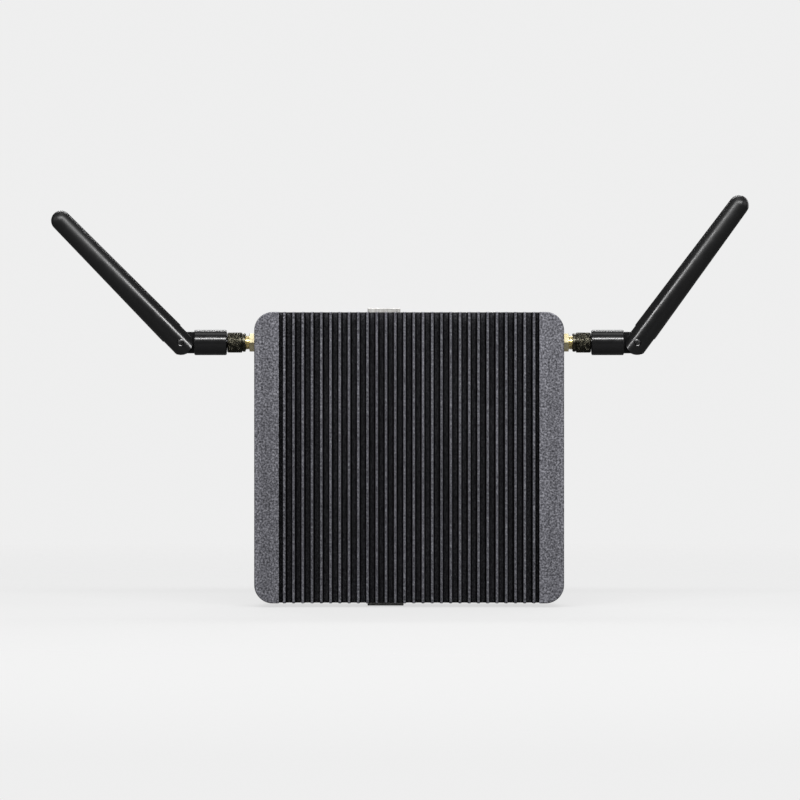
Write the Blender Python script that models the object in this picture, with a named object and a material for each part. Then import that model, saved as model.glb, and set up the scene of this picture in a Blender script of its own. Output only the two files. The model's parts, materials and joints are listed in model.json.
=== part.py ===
"""Fanless mini PC with a finned aluminium cover and two folding Wi-Fi aerials, hung on a VESA bracket.

The model is laid out lying on its back: X to the right, Y towards the rear sockets, Z from the wall
or monitor out to the fins. The empty "stand" then turns it upright, so that the fins face -Y, the
rear sockets face +Z, and the origin is the middle of the bracket's hole pattern on the mounting plane.
"""

import math

import bmesh
import bpy
from mathutils import Vector

MM = 0.001

# Bracket
BRACKET_SIZE = 108 * MM
SHEET = 1.2 * MM
PLATFORM_RISE = 5 * MM
PLATFORM_FOOT = 49.5 * MM
PLATFORM_SLOPE = 2.8 * MM
ARM_FOOT = 30 * MM
BRACKET_BORE = 20 * MM
VESA_LARGE = 50 * MM
VESA_SMALL = 37.5 * MM
STUD_RADIUS_FROM_CENTRE = 35 * MM
KEYHOLE_TRAVEL = 7 * MM
KEYHOLE_WIDE = 3.6 * MM
KEYHOLE_SLOT = 2.1 * MM
VESA_SCREW_LENGTH = 9.5 * MM

# Case
CASE_WIDTH = 134 * MM
CASE_LENGTH = 126 * MM
CASE_HEIGHT = 36 * MM
CASE_CORNER = 8 * MM
CASE_GAP = 6.5 * MM
GAP = 0.3 * MM
WALL = 3 * MM
LID = 1.5 * MM
FIN_HEIGHT = 8 * MM
FIN_COUNT = 28
FIN_PITCH = 4 * MM
FIN_TIP = 1.1 * MM
FIN_ROOT = 2 * MM
FLANGE = 10.75 * MM
CEILING = 24.5 * MM
PANEL = 2 * MM
PANEL_HALF_WIDTH = 58.7 * MM
POST_INSIDE = 52 * MM
POST_FACE = 55.7 * MM
PANEL_TOP = CEILING - GAP
PANEL_BOTTOM = LID + GAP
PANEL_SCREW_X = 55.5 * MM
PANEL_SCREW_HEIGHT = 13 * MM
LID_SCREW = (60.3 * MM, 57.6 * MM)
FOOT_PLACE = (59 * MM, 47 * MM)

# Mainboard
BOARD_LOW = 5.5 * MM
BOARD_HIGH = 7.1 * MM
BOARD_SCREW = (56 * MM, 50 * MM)
SEAT = BOARD_HIGH + GAP
CARD_LOW = 9.6 * MM
CARD_HIGH = 10.4 * MM
CARD_X = 35 * MM

# Sockets: the middle of each one along X
DC_X = -34 * MM
HDMI_X = -10.95 * MM
LAN_X = (5.2 * MM, 22.3 * MM)
USB_REAR_X = 40.2 * MM
USB_FRONT_X = -10.25 * MM
BUTTON_X = 30 * MM
LIGHT_X = 18 * MM
CONTROL_HEIGHT = 11 * MM
BUTTON_TRAVEL = 0.8 * MM

# Aerials
AERIAL_Y = 50 * MM
AERIAL_HEIGHT = 16 * MM
NUT_X = 75.3 * MM
SLEEVE_X = 79.6 * MM
PIVOT_X = 99.6 * MM
SLEEVE_RADIUS = 5.5 * MM
KNUCKLE = 5.3 * MM
ROD_LENGTH = 79 * MM
TIP_RADIUS = 4.4 * MM
ROD_ANGLE = {"left": math.radians(45.5), "right": math.radians(53.5)}
JACK_RADIUS = 3.1 * MM
PIN_RADIUS = 1.2 * MM
TONGUE = 1.5 * MM

SIDES = {"left": -1, "right": 1}
CORNERS = ((-1, -1), (1, -1), (1, 1), (-1, 1))
SMOOTH_ANGLE = math.radians(32)

# How a point of an outline (u, v) at height h along the axis lies in X, Y and Z.
LAYOUT = {
    "X": lambda u, v, h: (h, u, v),
    "Y": lambda u, v, h: (u, h, v),
    "Z": lambda u, v, h: (u, v, h),
}


# Outlines


def circle(radius, sides=12, centre=(0, 0)):
    turns = [2 * math.pi * (step + 0.5) / sides for step in range(sides)]
    return [(centre[0] + radius * math.cos(t), centre[1] + radius * math.sin(t)) for t in turns]


def rectangle(left, bottom, right, top):
    return [(left, bottom), (right, bottom), (right, top), (left, top)]


def centred(width, height, centre=(0, 0)):
    u, v = centre
    return rectangle(u - width / 2, v - height / 2, u + width / 2, v + height / 2)


def filleted(corners, radius, steps=4):
    """The outline with each corner rounded by an arc, inside corners too."""
    points = []
    before = corners[-1:] + corners[:-1]
    after = corners[1:] + corners[:1]
    for previous, corner, following in zip(before, corners, after):
        corner = Vector(corner)
        back = (Vector(previous) - corner).normalized()
        ahead = (Vector(following) - corner).normalized()
        half = back.angle(ahead) / 2
        centre = corner + (back + ahead).normalized() * radius / math.sin(half)
        first = corner + back * radius / math.tan(half) - centre
        last = corner + ahead * radius / math.tan(half) - centre
        start = math.atan2(first.y, first.x)
        sweep = math.remainder(math.atan2(last.y, last.x) - start, 2 * math.pi)
        for step in range(steps + 1):
            turn = start + sweep * step / steps
            points.append((centre.x + radius * math.cos(turn), centre.y + radius * math.sin(turn)))
    return points


def cross(reach, arm, radius):
    """A plus-shaped outline with rounded corners, reach and arm being half its size and arm width."""
    corners = [(arm, -reach), (arm, -arm), (reach, -arm), (reach, arm), (arm, arm), (arm, reach)]
    corners += [(-u, -v) for u, v in corners]
    return filleted(corners, radius)


def keyhole(centre):
    """A round hole with a slot below it, centred on the stud's resting place."""
    middle = KEYHOLE_TRAVEL
    half_mouth = math.asin(KEYHOLE_SLOT / KEYHOLE_WIDE)
    points = []
    for step in range(11):
        turn = -math.pi / 2 + half_mouth + (2 * math.pi - 2 * half_mouth) * step / 10
        points.append((KEYHOLE_WIDE * math.cos(turn), middle + KEYHOLE_WIDE * math.sin(turn)))
    for step in range(7):
        turn = math.pi + math.pi * step / 6
        points.append((KEYHOLE_SLOT * math.cos(turn), KEYHOLE_SLOT * math.sin(turn)))
    return [(centre[0] + u, centre[1] + v) for u, v in points]


def grown(outline, amount):
    """A convex outline with each point moved away from its middle by the amount in both directions."""
    us, vs = zip(*outline)
    middle_u, middle_v = (min(us) + max(us)) / 2, (min(vs) + max(vs)) / 2
    return [
        (u + amount * math.copysign(1, u - middle_u), v + amount * math.copysign(1, v - middle_v))
        for u, v in outline
    ]


# Solids


def ring(bm, outline, height, axis):
    return [bm.verts.new(LAYOUT[axis](u, v, height)) for u, v in outline]


def edges_of(bm, loop):
    pairs = zip(loop, loop[1:] + loop[:1])
    return [bm.edges.get(pair) or bm.edges.new(pair) for pair in pairs]


def fill(bm, loops):
    """A flat face inside the first loop and outside the others."""
    if len(loops) == 1:
        bm.faces.new(loops[0])
        return
    edges = [edge for loop in loops for edge in edges_of(bm, loop)]
    bmesh.ops.triangle_fill(bm, use_beauty=True, edges=edges)


def bridge(bm, one, other):
    """Walls between two loops: side by side where they match, a flat ring where they don't."""
    if len(one) != len(other):
        fill(bm, [one, other])
        return
    for a, b, c, d in zip(one, one[1:] + one[:1], other[1:] + other[:1], other):
        bm.faces.new((a, b, c, d))


def climb(bm, levels, axis):
    """Rings through the levels, bridged one to the next."""
    rings = [ring(bm, outline, height, axis) for outline, height in levels]
    for one, other in zip(rings, rings[1:]):
        bridge(bm, one, other)
    return rings


def face_outwards(bm):
    bmesh.ops.recalc_face_normals(bm, faces=bm.faces)
    if bm.calc_volume(signed=True) < 0:
        bmesh.ops.reverse_faces(bm, faces=bm.faces)


def make_body(levels, axis="Z", features=(), holes=()):
    """One closed body: outlines stacked along the axis, from a first cap to a last one.

    A feature is a chain of levels that starts on the last cap and rises from it or sinks into it.
    A hole is a chain of levels from the last cap to the first one.
    """
    bm = bmesh.new()
    body = climb(bm, levels, axis)
    chains = [climb(bm, levels, axis) for levels in features]
    for chain in chains:
        fill(bm, [chain[-1]])
    bores = [climb(bm, levels, axis) for levels in holes]
    fill(bm, [body[0]] + [bore[-1] for bore in bores])
    fill(bm, [body[-1]] + [chain[0] for chain in chains] + [bore[0] for bore in bores])
    face_outwards(bm)
    return bm


def to_mesh(name, bm):
    mesh = bpy.data.meshes.new(name)
    bm.to_mesh(mesh)
    bm.free()
    return mesh


def add_piece(name, mesh, finish, parent, place=(0, 0, 0), turn=0):
    mesh.materials.append(finish)
    mesh.shade_smooth()
    mesh.set_sharp_from_angle(angle=SMOOTH_ANGLE)
    piece = bpy.data.objects.new(name, mesh)
    piece.location = place
    piece.rotation_euler = (0, 0, turn)
    piece.parent = parent
    bpy.context.scene.collection.objects.link(piece)
    return piece


def solid(name, finish, parent, levels, axis="Z", features=(), holes=(), place=(0, 0, 0), turn=0):
    mesh = to_mesh(name, make_body(levels, axis, features, holes))
    return add_piece(name, mesh, finish, parent, place, turn)


def combine(piece, name, bodies, operation):
    """Joins bodies to the piece or cuts them from it. Each body is (levels, axis)."""
    bm = bmesh.new()
    for levels, axis in bodies:
        body = to_mesh(name, make_body(levels, axis))
        bm.from_mesh(body)
        bpy.data.meshes.remove(body)
    tool = add_piece(name, to_mesh(name, bm), piece.data.materials[0], piece.parent, piece.location)
    tool.rotation_euler = piece.rotation_euler
    tool.hide_render = True
    tool.display_type = "WIRE"
    modifier = piece.modifiers.new(name, "BOOLEAN")
    modifier.operation = operation
    modifier.object = tool


def flipped(levels, side):
    """The levels as they stand, or pointing the other way along their axis where side is -1."""
    return [(outline, height * side) for outline, height in levels]


# Fasteners: the seat of the head is at height 0, and the head is at the + end


def pan_screw(shank, length, head, head_height):
    return [
        (circle(shank * 0.7), -length),
        (circle(shank), -length + shank * 0.6),
        (circle(shank), 0),
        (circle(head), 0),
        (circle(head), head_height * 0.45),
        (circle(head * 0.82), head_height * 0.82),
        (circle(head * 0.4), head_height),
    ]


def flat_screw(shank, length, head):
    cone = head - shank
    return [
        (circle(shank * 0.7, 12), -length),
        (circle(shank, 12), -length + shank * 0.6),
        (circle(shank, 12), -cone),
        (circle(head, 12), 0),
    ]


def flat_screw_hole(centre, shank, head, face, back):
    """A countersunk hole from the face to the back of a plate, with clearance round its screw."""
    inward = math.copysign(head - shank, back - face)
    return [
        (circle(head + GAP, 12, centre), face),
        (circle(shank + GAP, 12, centre), face + inward),
        (circle(shank + GAP, 12, centre), back),
    ]


def straight_hole(outline, face, back):
    return [(outline, face), (outline, back)]


# Finishes


def make_finish(name, colour, roughness, metallic=0.0):
    finish = bpy.data.materials.new(name)
    finish.use_nodes = True
    shader = finish.node_tree.nodes["Principled BSDF"]
    shader.inputs["Base Color"].default_value = (*colour, 1)
    shader.inputs["Roughness"].default_value = roughness
    shader.inputs["Metallic"].default_value = metallic
    return finish


def make_finishes():
    return {
        "anodised": make_finish("anodised_aluminium", (0.045, 0.046, 0.05), 0.45, 0.85),
        "painted": make_finish("painted_steel", (0.008, 0.008, 0.01), 0.18),
        "panel": make_finish("black_panel", (0.015, 0.015, 0.016), 0.5),
        "zinc": make_finish("zinc_steel", (0.62, 0.62, 0.6), 0.3, 1.0),
        "black_steel": make_finish("black_steel", (0.03, 0.03, 0.03), 0.4, 0.9),
        "shell": make_finish("nickel_shell", (0.72, 0.71, 0.68), 0.25, 1.0),
        "socket": make_finish("socket_plastic", (0.012, 0.012, 0.012), 0.45),
        "gold": make_finish("gold_plate", (0.83, 0.7, 0.36), 0.22, 1.0),
        "nut": make_finish("dark_nickel", (0.06, 0.055, 0.045), 0.35, 1.0),
        "aerial": make_finish("aerial_plastic", (0.012, 0.012, 0.012), 0.42),
        "board": make_finish("circuit_board", (0.01, 0.07, 0.035), 0.4),
        "chip": make_finish("chip_epoxy", (0.02, 0.02, 0.022), 0.5),
        "copper": make_finish("copper_block", (0.75, 0.38, 0.24), 0.3, 1.0),
        "rubber": make_finish("foot_rubber", (0.02, 0.02, 0.02), 0.85),
        "lens": make_finish("light_lens", (0.55, 0.65, 0.8), 0.15),
        "cable": make_finish("cable_jacket", (0.1, 0.1, 0.1), 0.45),
    }


# Bracket


def make_bracket(finish, stand):
    """A pressed sheet: four corner pads against the wall and a raised cross that the case hangs on."""
    bm = bmesh.new()
    half = BRACKET_SIZE / 2
    outer = ring(bm, filleted(rectangle(-half, -half, half, half), 3 * MM), 0, "Z")
    foot = ring(bm, cross(PLATFORM_FOOT, ARM_FOOT, 4 * MM), 0, "Z")
    slope = PLATFORM_SLOPE
    top = ring(bm, cross(PLATFORM_FOOT - slope, ARM_FOOT - slope, 4 * MM), PLATFORM_RISE, "Z")
    pads = [
        ring(bm, circle(2.4 * MM, 12, (u * reach, v * reach)), 0, "Z")
        for reach in (VESA_LARGE, VESA_SMALL)
        for u, v in CORNERS
    ]
    openings = [ring(bm, circle(BRACKET_BORE, 40), PLATFORM_RISE, "Z")]
    openings += [ring(bm, keyhole(centre), PLATFORM_RISE, "Z") for centre in stud_places()]
    fill(bm, [outer, foot] + pads)
    bridge(bm, foot, top)
    fill(bm, [top] + openings)
    bmesh.ops.recalc_face_normals(bm, faces=bm.faces)
    if sum(face.normal.z for face in bm.faces) < 0:
        bmesh.ops.reverse_faces(bm, faces=bm.faces)
    bracket = add_piece("vesa_bracket", to_mesh("vesa_bracket", bm), finish["painted"], stand)
    sheet = bracket.modifiers.new("sheet", "SOLIDIFY")
    sheet.thickness = SHEET
    sheet.offset = 1
    sheet.use_even_offset = True


def stud_places():
    reach = STUD_RADIUS_FROM_CENTRE
    return [(0, reach), (reach, 0), (0, -reach), (-reach, 0)]


def make_bracket_screws(finish, stand):
    levels = pan_screw(1.9 * MM, VESA_SCREW_LENGTH, 3.6 * MM, 2.6 * MM)
    for number, (u, v) in enumerate(CORNERS, 1):
        place = (u * VESA_LARGE, v * VESA_LARGE, SHEET + GAP)
        solid(f"vesa_screw_{number}", finish["zinc"], stand, levels, place=place)


# Case


def fin_edges(index, width):
    """Left and right edge of a fin of this width. Index -1 and FIN_COUNT are the flanges."""
    inner = CASE_WIDTH / 2 - FLANGE
    if index < 0:
        return -inner, -inner
    if index == FIN_COUNT:
        return inner, inner
    middle = (index - (FIN_COUNT - 1) / 2) * FIN_PITCH
    return middle - width / 2, middle + width / 2


def valley(index):
    """The tapering groove to the right of fin index, as an outline in X and Z."""
    low, high = CASE_HEIGHT - FIN_HEIGHT, CASE_HEIGHT + MM
    left_root, right_root = fin_edges(index, FIN_ROOT)[1], fin_edges(index + 1, FIN_ROOT)[0]
    left_tip, right_tip = fin_edges(index, FIN_TIP)[1], fin_edges(index + 1, FIN_TIP)[0]
    return [(left_root, low), (right_root, low), (right_tip, high), (left_tip, high)]


def make_cover(finish, case):
    """The finned cover: a tray with a post in each corner for the panel and lid screws."""
    half_width, half_length = CASE_WIDTH / 2, CASE_LENGTH / 2
    plan = filleted(rectangle(-half_width, -half_length, half_width, half_length), CASE_CORNER, 6)
    cover = solid("heatsink_cover", finish["anodised"], case, [(plan, LID + GAP), (plan, CASE_HEIGHT)])
    wall_x = half_width - WALL
    panel_x = PANEL_HALF_WIDTH + GAP
    panel_y = half_length - PANEL
    past = half_length + MM
    side = [
        (wall_x, POST_FACE),
        (POST_INSIDE, POST_FACE),
        (POST_INSIDE, panel_y - GAP),
        (panel_x, panel_y - GAP),
        (panel_x, past),
    ]
    quarter = [(u, -v) for u, v in reversed(side)] + side
    inside = quarter + [(-u, -v) for u, v in quarter]
    combine(cover, "cover_inside", [([(inside, -MM), (inside, CEILING)], "Z")], "DIFFERENCE")
    grooves = [
        ([(valley(index), -past), (valley(index), past)], "Y") for index in range(-1, FIN_COUNT)
    ]
    combine(cover, "cover_grooves", grooves, "DIFFERENCE")
    drilled = []
    for u, v in CORNERS:
        lid_hole = circle(1.8 * MM, 12, (u * LID_SCREW[0], v * LID_SCREW[1]))
        drilled.append(([(lid_hole, 0), (lid_hole, 9 * MM)], "Z"))
        panel_hole = circle(1.55 * MM, 12, (u * PANEL_SCREW_X, PANEL_SCREW_HEIGHT))
        drilled.append(([(panel_hole, v * (POST_FACE - MM)), (panel_hole, v * past)], "Y"))
    for side in SIDES.values():
        jack_hole = circle(JACK_RADIUS + GAP, 20, (AERIAL_Y, AERIAL_HEIGHT))
        drilled.append(([(jack_hole, side * (wall_x - MM)), (jack_hole, side * (half_width + MM))], "X"))
    combine(cover, "cover_holes", drilled, "DIFFERENCE")


def make_lid(finish, case):
    """The base plate that closes the case from behind, with four stand-offs for the mainboard."""
    half_width, half_length = CASE_WIDTH / 2, CASE_LENGTH / 2
    plan = filleted(rectangle(-half_width, -half_length, half_width, half_length), CASE_CORNER, 6)
    standoffs = []
    holes = []
    for u, v in CORNERS:
        centre = (u * BOARD_SCREW[0], v * BOARD_SCREW[1])
        outside, bore = circle(3 * MM, 12, centre), circle(1.5 * MM, 12, centre)
        top = BOARD_LOW - GAP
        standoffs.append([(outside, LID), (outside, top), (bore, top), (bore, LID)])
        corner = (u * LID_SCREW[0], v * LID_SCREW[1])
        tapered = flat_screw_hole(corner, 1.4 * MM, 2.5 * MM, 0, LID)
        holes.append(tapered[::-1])
    for centre in stud_places():
        holes.append(straight_hole(circle(1.8 * MM, 12, centre), LID, 0))
    levels = [(plan, 0), (plan, LID)]
    solid("base_plate", finish["panel"], case, levels, features=standoffs, holes=holes)


def make_lid_screws(finish, case):
    levels = flipped(flat_screw(1.4 * MM, 8 * MM, 2.5 * MM), -1)
    for number, (u, v) in enumerate(CORNERS, 1):
        place = (u * LID_SCREW[0], v * LID_SCREW[1], 0)
        solid(f"base_screw_{number}", finish["black_steel"], case, levels, place=place)


def make_studs(finish, case):
    """Shouldered studs in the base plate, whose heads hang behind the bracket's keyhole slots."""
    neck_end = -CASE_GAP + PLATFORM_RISE - GAP
    levels = [
        (circle(3.2 * MM), neck_end - 1.6 * MM),
        (circle(3.2 * MM), neck_end),
        (circle(1.8 * MM), neck_end),
        (circle(1.8 * MM), -GAP),
        (circle(1.5 * MM), -GAP),
        (circle(1.5 * MM), LID + 0.8 * MM),
    ]
    for number, centre in enumerate(stud_places(), 1):
        solid(f"hanger_stud_{number}", finish["zinc"], case, levels, place=(*centre, 0))


def make_feet(finish, case):
    levels = [
        (circle(4 * MM), -3 * MM),
        (circle(4.5 * MM), -2.4 * MM),
        (circle(4.5 * MM), -GAP),
    ]
    for number, (u, v) in enumerate(CORNERS, 1):
        place = (u * FOOT_PLACE[0], v * FOOT_PLACE[1], 0)
        solid(f"foot_{number}", finish["rubber"], case, levels, place=place)


# Sockets: outlines in X and Z


def hdmi_outline():
    half, low, high = 7.15 * MM, SEAT, SEAT + 5.4 * MM
    chamfer = 2 * MM
    corners = [(-half + chamfer, low), (half - chamfer, low), (half, low + chamfer), (half, high)]
    return [(HDMI_X + u, v) for u, v in corners + [(-half, high), (-half, low + chamfer)]]


def lan_outline(middle):
    return centred(15.9 * MM, 13.4 * MM, (middle, SEAT + 6.7 * MM))


def usb_outline(middle, width):
    return centred(width, 15.2 * MM, (middle, SEAT + 7.6 * MM))


def make_panel(name, finish, case, side, openings, round_holes):
    """A flat end plate between the cover's posts. Side is 1 for the rear one and -1 for the front."""
    face, back = CASE_LENGTH / 2, CASE_LENGTH / 2 - PANEL
    plate = rectangle(-PANEL_HALF_WIDTH, PANEL_BOTTOM, PANEL_HALF_WIDTH, PANEL_TOP)
    holes = [straight_hole(grown(outline, GAP), face, back) for outline in openings]
    holes += [straight_hole(circle(r, 24, (x, h)), face, back) for x, h, r in round_holes]
    for x in (-PANEL_SCREW_X, PANEL_SCREW_X):
        holes.append(flat_screw_hole((x, PANEL_SCREW_HEIGHT), 1.2 * MM, 2.3 * MM, face, back))
    holes = [flipped(hole, side) for hole in holes]
    levels = flipped([(plate, back), (plate, face)], side)
    solid(name, finish["panel"], case, levels, "Y", holes=holes)


def make_panels(finish, case):
    rear = [hdmi_outline()] + [lan_outline(x) for x in LAN_X] + [usb_outline(USB_REAR_X, 14.5 * MM)]
    make_panel("rear_panel", finish, case, 1, rear, [(DC_X, CONTROL_HEIGHT + MM, 4.6 * MM)])
    controls = [(BUTTON_X, CONTROL_HEIGHT, 6 * MM), (LIGHT_X, CONTROL_HEIGHT, 1.6 * MM)]
    make_panel("front_panel", finish, case, -1, [usb_outline(USB_FRONT_X, 15.7 * MM)], controls)


def make_panel_screws(finish, case):
    for name, side in (("rear", 1), ("front", -1)):
        levels = flipped(flat_screw(1.2 * MM, 6 * MM, 2.3 * MM), side)
        for number, x in enumerate((-PANEL_SCREW_X, PANEL_SCREW_X), 1):
            place = (x, side * CASE_LENGTH / 2, PANEL_SCREW_HEIGHT)
            label = f"{name}_panel_screw_{number}"
            solid(label, finish["black_steel"], case, levels, "Y", place=place)


def make_hdmi(finish, case):
    front, depth = CASE_LENGTH / 2 + 2 * MM, 11 * MM
    outer = hdmi_outline()
    inner = grown(outer, -0.5 * MM)
    middle = SEAT + 2.9 * MM
    tongue = centred(10.6 * MM, 1.2 * MM, (HDMI_X, middle))
    cavity = [(inner, front), (inner, front - 8 * MM), (tongue, front - 8 * MM), (tongue, front - MM)]
    solid("hdmi_port", finish["shell"], case, [(outer, front - depth), (outer, front)], "Y", [cavity])


def make_lan_port(number, middle, finish, case):
    front, depth = CASE_LENGTH / 2 + 0.15 * MM, 21 * MM
    outer = lan_outline(middle)
    plug, latch, clip = 5.9 * MM, 3.1 * MM, 1.7 * MM
    low, shoulder = SEAT + 1.8 * MM, SEAT + 9.2 * MM
    opening = [(-plug, low), (plug, low), (plug, shoulder), (latch, shoulder)]
    opening += [(latch, shoulder + clip), (-latch, shoulder + clip), (-latch, shoulder), (-plug, shoulder)]
    opening = [(middle + u, v) for u, v in opening]
    cavity = [(opening, front), (opening, front - 14 * MM)]
    levels = [(outer, front - depth), (outer, front)]
    solid(f"lan_port_{number}", finish["shell"], case, levels, "Y", [cavity])


def make_usb_stack(name, middle, width, side, front, finish, case):
    """Two sockets in one shell, each with a tongue."""
    outer = usb_outline(middle, width)
    cavities = []
    for low in (SEAT + 1.3 * MM, SEAT + 8.8 * MM):
        inner = centred(12.6 * MM, 5.1 * MM, (middle, low + 2.55 * MM))
        tongue = centred(11 * MM, 1.8 * MM, (middle, low + 3.5 * MM))
        floor = front - 10 * MM
        cavity = [(inner, front), (inner, floor), (tongue, floor), (tongue, front - MM)]
        cavities.append(flipped(cavity, side))
    levels = flipped([(outer, front - 17 * MM), (outer, front)], side)
    solid(name, finish["shell"], case, levels, "Y", cavities)


def make_dc_jack(finish, case):
    face = CASE_LENGTH / 2
    centre = (DC_X, CONTROL_HEIGHT + MM)
    block = centred(9 * MM, 9 * MM, centre)
    barrel, bore, pin = (circle(r, 20, centre) for r in (4.2 * MM, 3.1 * MM, 1.2 * MM))
    shoulder, front = face - PANEL - 2 * GAP, face + 0.15 * MM
    levels = [(block, face - 14 * MM), (block, shoulder), (barrel, shoulder), (barrel, front)]
    cavity = [(bore, front), (bore, face - 9 * MM), (pin, face - 9 * MM), (pin, face - MM)]
    solid("dc_jack", finish["socket"], case, levels, "Y", [cavity])


def make_sockets(finish, case):
    make_dc_jack(finish, case)
    make_hdmi(finish, case)
    for number, middle in enumerate(LAN_X, 1):
        make_lan_port(number, middle, finish, case)
    flush, proud = CASE_LENGTH / 2 + 0.15 * MM, CASE_LENGTH / 2 + 1.5 * MM
    make_usb_stack("usb_stack_rear", USB_REAR_X, 14.5 * MM, 1, flush, finish, case)
    make_usb_stack("usb_stack_front", USB_FRONT_X, 15.7 * MM, -1, proud, finish, case)


def make_controls(finish, case):
    """The power button, which slides in the front panel, its switch and the status light."""
    face, back = CASE_LENGTH / 2, CASE_LENGTH / 2 - PANEL
    place = (BUTTON_X, -face, CONTROL_HEIGHT)
    flange = PANEL + GAP
    button = [
        (circle(2 * MM, 24), 6 * MM),
        (circle(2 * MM, 24), flange + MM),
        (circle(7 * MM, 24), flange + MM),
        (circle(7 * MM, 24), flange),
        (circle(5.6 * MM, 24), flange),
        (circle(5.6 * MM, 24), 0),
        (circle(5.2 * MM, 24), -0.2 * MM),
    ]
    solid("power_button", finish["anodised"], case, button, "Y", place=place)
    block = centred(7 * MM, 7.2 * MM, (BUTTON_X, SEAT + 3.6 * MM))
    plunger = circle(1.5 * MM, 12, (BUTTON_X, CONTROL_HEIGHT))
    front = face - 6 * MM - BUTTON_TRAVEL - 2 * GAP
    levels = [(block, -front + 8 * MM), (block, -front + 1.5 * MM)]
    stem = [(plunger, -front + 1.5 * MM), (plunger, -front)]
    solid("power_switch", finish["socket"], case, levels, "Y", [stem])
    middle = (LIGHT_X, CONTROL_HEIGHT)
    light = [
        (circle(1.3 * MM, 12, middle), -face + 5 * MM),
        (circle(1.3 * MM, 12, middle), -back + GAP + MM),
        (circle(2.1 * MM, 12, middle), -back + GAP + MM),
        (circle(2.1 * MM, 12, middle), -back + GAP),
        (circle(1.3 * MM, 12, middle), -back + GAP),
        (circle(1.3 * MM, 12, middle), -face - 0.1 * MM),
    ]
    solid("status_light", finish["lens"], case, light, "Y")


# Inside the case


def card_slot(low_y, high_y):
    outline = rectangle(CARD_X - 11 * MM, low_y, CARD_X + 11 * MM, high_y)
    return [(outline, BOARD_HIGH), (outline, BOARD_HIGH + 4.2 * MM)]


def make_mainboard(finish, case):
    """The board with the two card sockets, their far-end pegs and some coils soldered on."""
    edge_x, notch_x = 61 * MM, POST_INSIDE - 0.5 * MM
    notch_y, rear_y, front_y = POST_FACE - 0.5 * MM, 60.4 * MM, -57.5 * MM
    right = [(notch_x, front_y), (notch_x, -notch_y), (edge_x, -notch_y)]
    right += [(edge_x, notch_y), (notch_x, notch_y), (notch_x, rear_y)]
    plan = right + [(-u, v) for u, v in reversed(right)]
    features = [card_slot(-1.5 * MM, 2 * MM), card_slot(2.6 * MM, 6.1 * MM)]
    for y in (-41.5 * MM, 34 * MM):
        peg = circle(2.2 * MM, 12, (CARD_X, y))
        features.append([(peg, BOARD_HIGH), (peg, CARD_LOW - GAP)])
    for x in (-12 * MM, -4 * MM, 4 * MM, 12 * MM):
        coil = centred(6.5 * MM, 6.5 * MM, (x, -14 * MM))
        features.append([(coil, BOARD_HIGH), (coil, BOARD_HIGH + 3 * MM)])
    holes = [
        straight_hole(circle(1.5 * MM, 12, (u * BOARD_SCREW[0], v * BOARD_SCREW[1])), BOARD_HIGH, BOARD_LOW)
        for u, v in CORNERS
    ]
    levels = [(plan, BOARD_LOW), (plan, BOARD_HIGH)]
    solid("mainboard", finish["board"], case, levels, features=features, holes=holes)


def make_board_screws(finish, case):
    levels = pan_screw(1.2 * MM, 4.6 * MM, 2.6 * MM, 1.8 * MM)
    for number, (u, v) in enumerate(CORNERS, 1):
        place = (u * BOARD_SCREW[0], v * BOARD_SCREW[1], SEAT)
        solid(f"board_screw_{number}", finish["zinc"], case, levels, place=place)


def make_processor(finish, case):
    centre = (0, 12 * MM)
    package, die = centred(25 * MM, 24 * MM, centre), centred(12 * MM, 10 * MM, centre)
    step, top = SEAT + 1.1 * MM, SEAT + 1.6 * MM
    levels = [(package, SEAT), (package, step), (die, step), (die, top)]
    solid("processor", finish["chip"], case, levels)
    block = centred(34 * MM, 34 * MM, centre)
    levels = [(block, top + GAP), (block, CEILING - GAP)]
    solid("thermal_block", finish["copper"], case, levels)


def make_memory(finish, case):
    back, mouth = -58 * MM, -52 * MM
    slot_low, slot_high, slot_end = 9.1 * MM, 10.9 * MM, -55 * MM
    top = SEAT + 5.2 * MM
    profile = [(back, SEAT), (mouth, SEAT), (mouth, slot_low), (slot_end, slot_low)]
    profile += [(slot_end, slot_high), (mouth, slot_high), (mouth, top), (back, top)]
    half = 35 * MM
    solid("memory_socket", finish["socket"], case, [(profile, -half), (profile, half)], "Y")
    left = slot_end + 2 * GAP
    plan = rectangle(left, -33.8 * MM, left + 30 * MM, 33.8 * MM)
    low, high = 9.4 * MM, 10.6 * MM
    chips = []
    for y in (-25 * MM, -9 * MM, 9 * MM, 25 * MM):
        chip = centred(11 * MM, 9 * MM, (left + 17 * MM, y))
        chips.append([(chip, high), (chip, high + MM)])
    levels = [(plan, low), (plan, high)]
    solid("memory_module", finish["board"], case, levels, features=chips)


def make_card(name, low_y, high_y, chips, finish, case):
    """A plug-in card held off the board by its socket. Each chip is (y, length, width)."""
    plan = rectangle(CARD_X - 11 * MM, low_y, CARD_X + 11 * MM, high_y)
    features = []
    for y, length, width in chips:
        chip = centred(width, length, (CARD_X, y))
        features.append([(chip, CARD_HIGH), (chip, CARD_HIGH + MM)])
    levels = [(plan, CARD_LOW), (plan, CARD_HIGH)]
    solid(name, finish["board"], case, levels, features=features)


def make_cards(finish, case):
    ssd_chips = [(-12 * MM, 12 * MM, 14 * MM), (-29 * MM, 14 * MM, 16 * MM)]
    make_card("ssd_module", -43.9 * MM, -1.9 * MM, ssd_chips, finish, case)
    wifi_chips = [(18 * MM, 16 * MM, 16 * MM)]
    make_card("wifi_card", 6.5 * MM, 36.5 * MM, wifi_chips, finish, case)


def make_clock_battery(finish, case):
    cell = circle(10 * MM, 24)
    rim = circle(9.4 * MM, 24)
    levels = [(cell, 0), (cell, 2.6 * MM), (rim, 3.2 * MM)]
    solid("clock_battery", finish["shell"], case, levels, place=(4 * MM, -30 * MM, SEAT))


# Aerials: heights run outwards along X from the middle of the case


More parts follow.
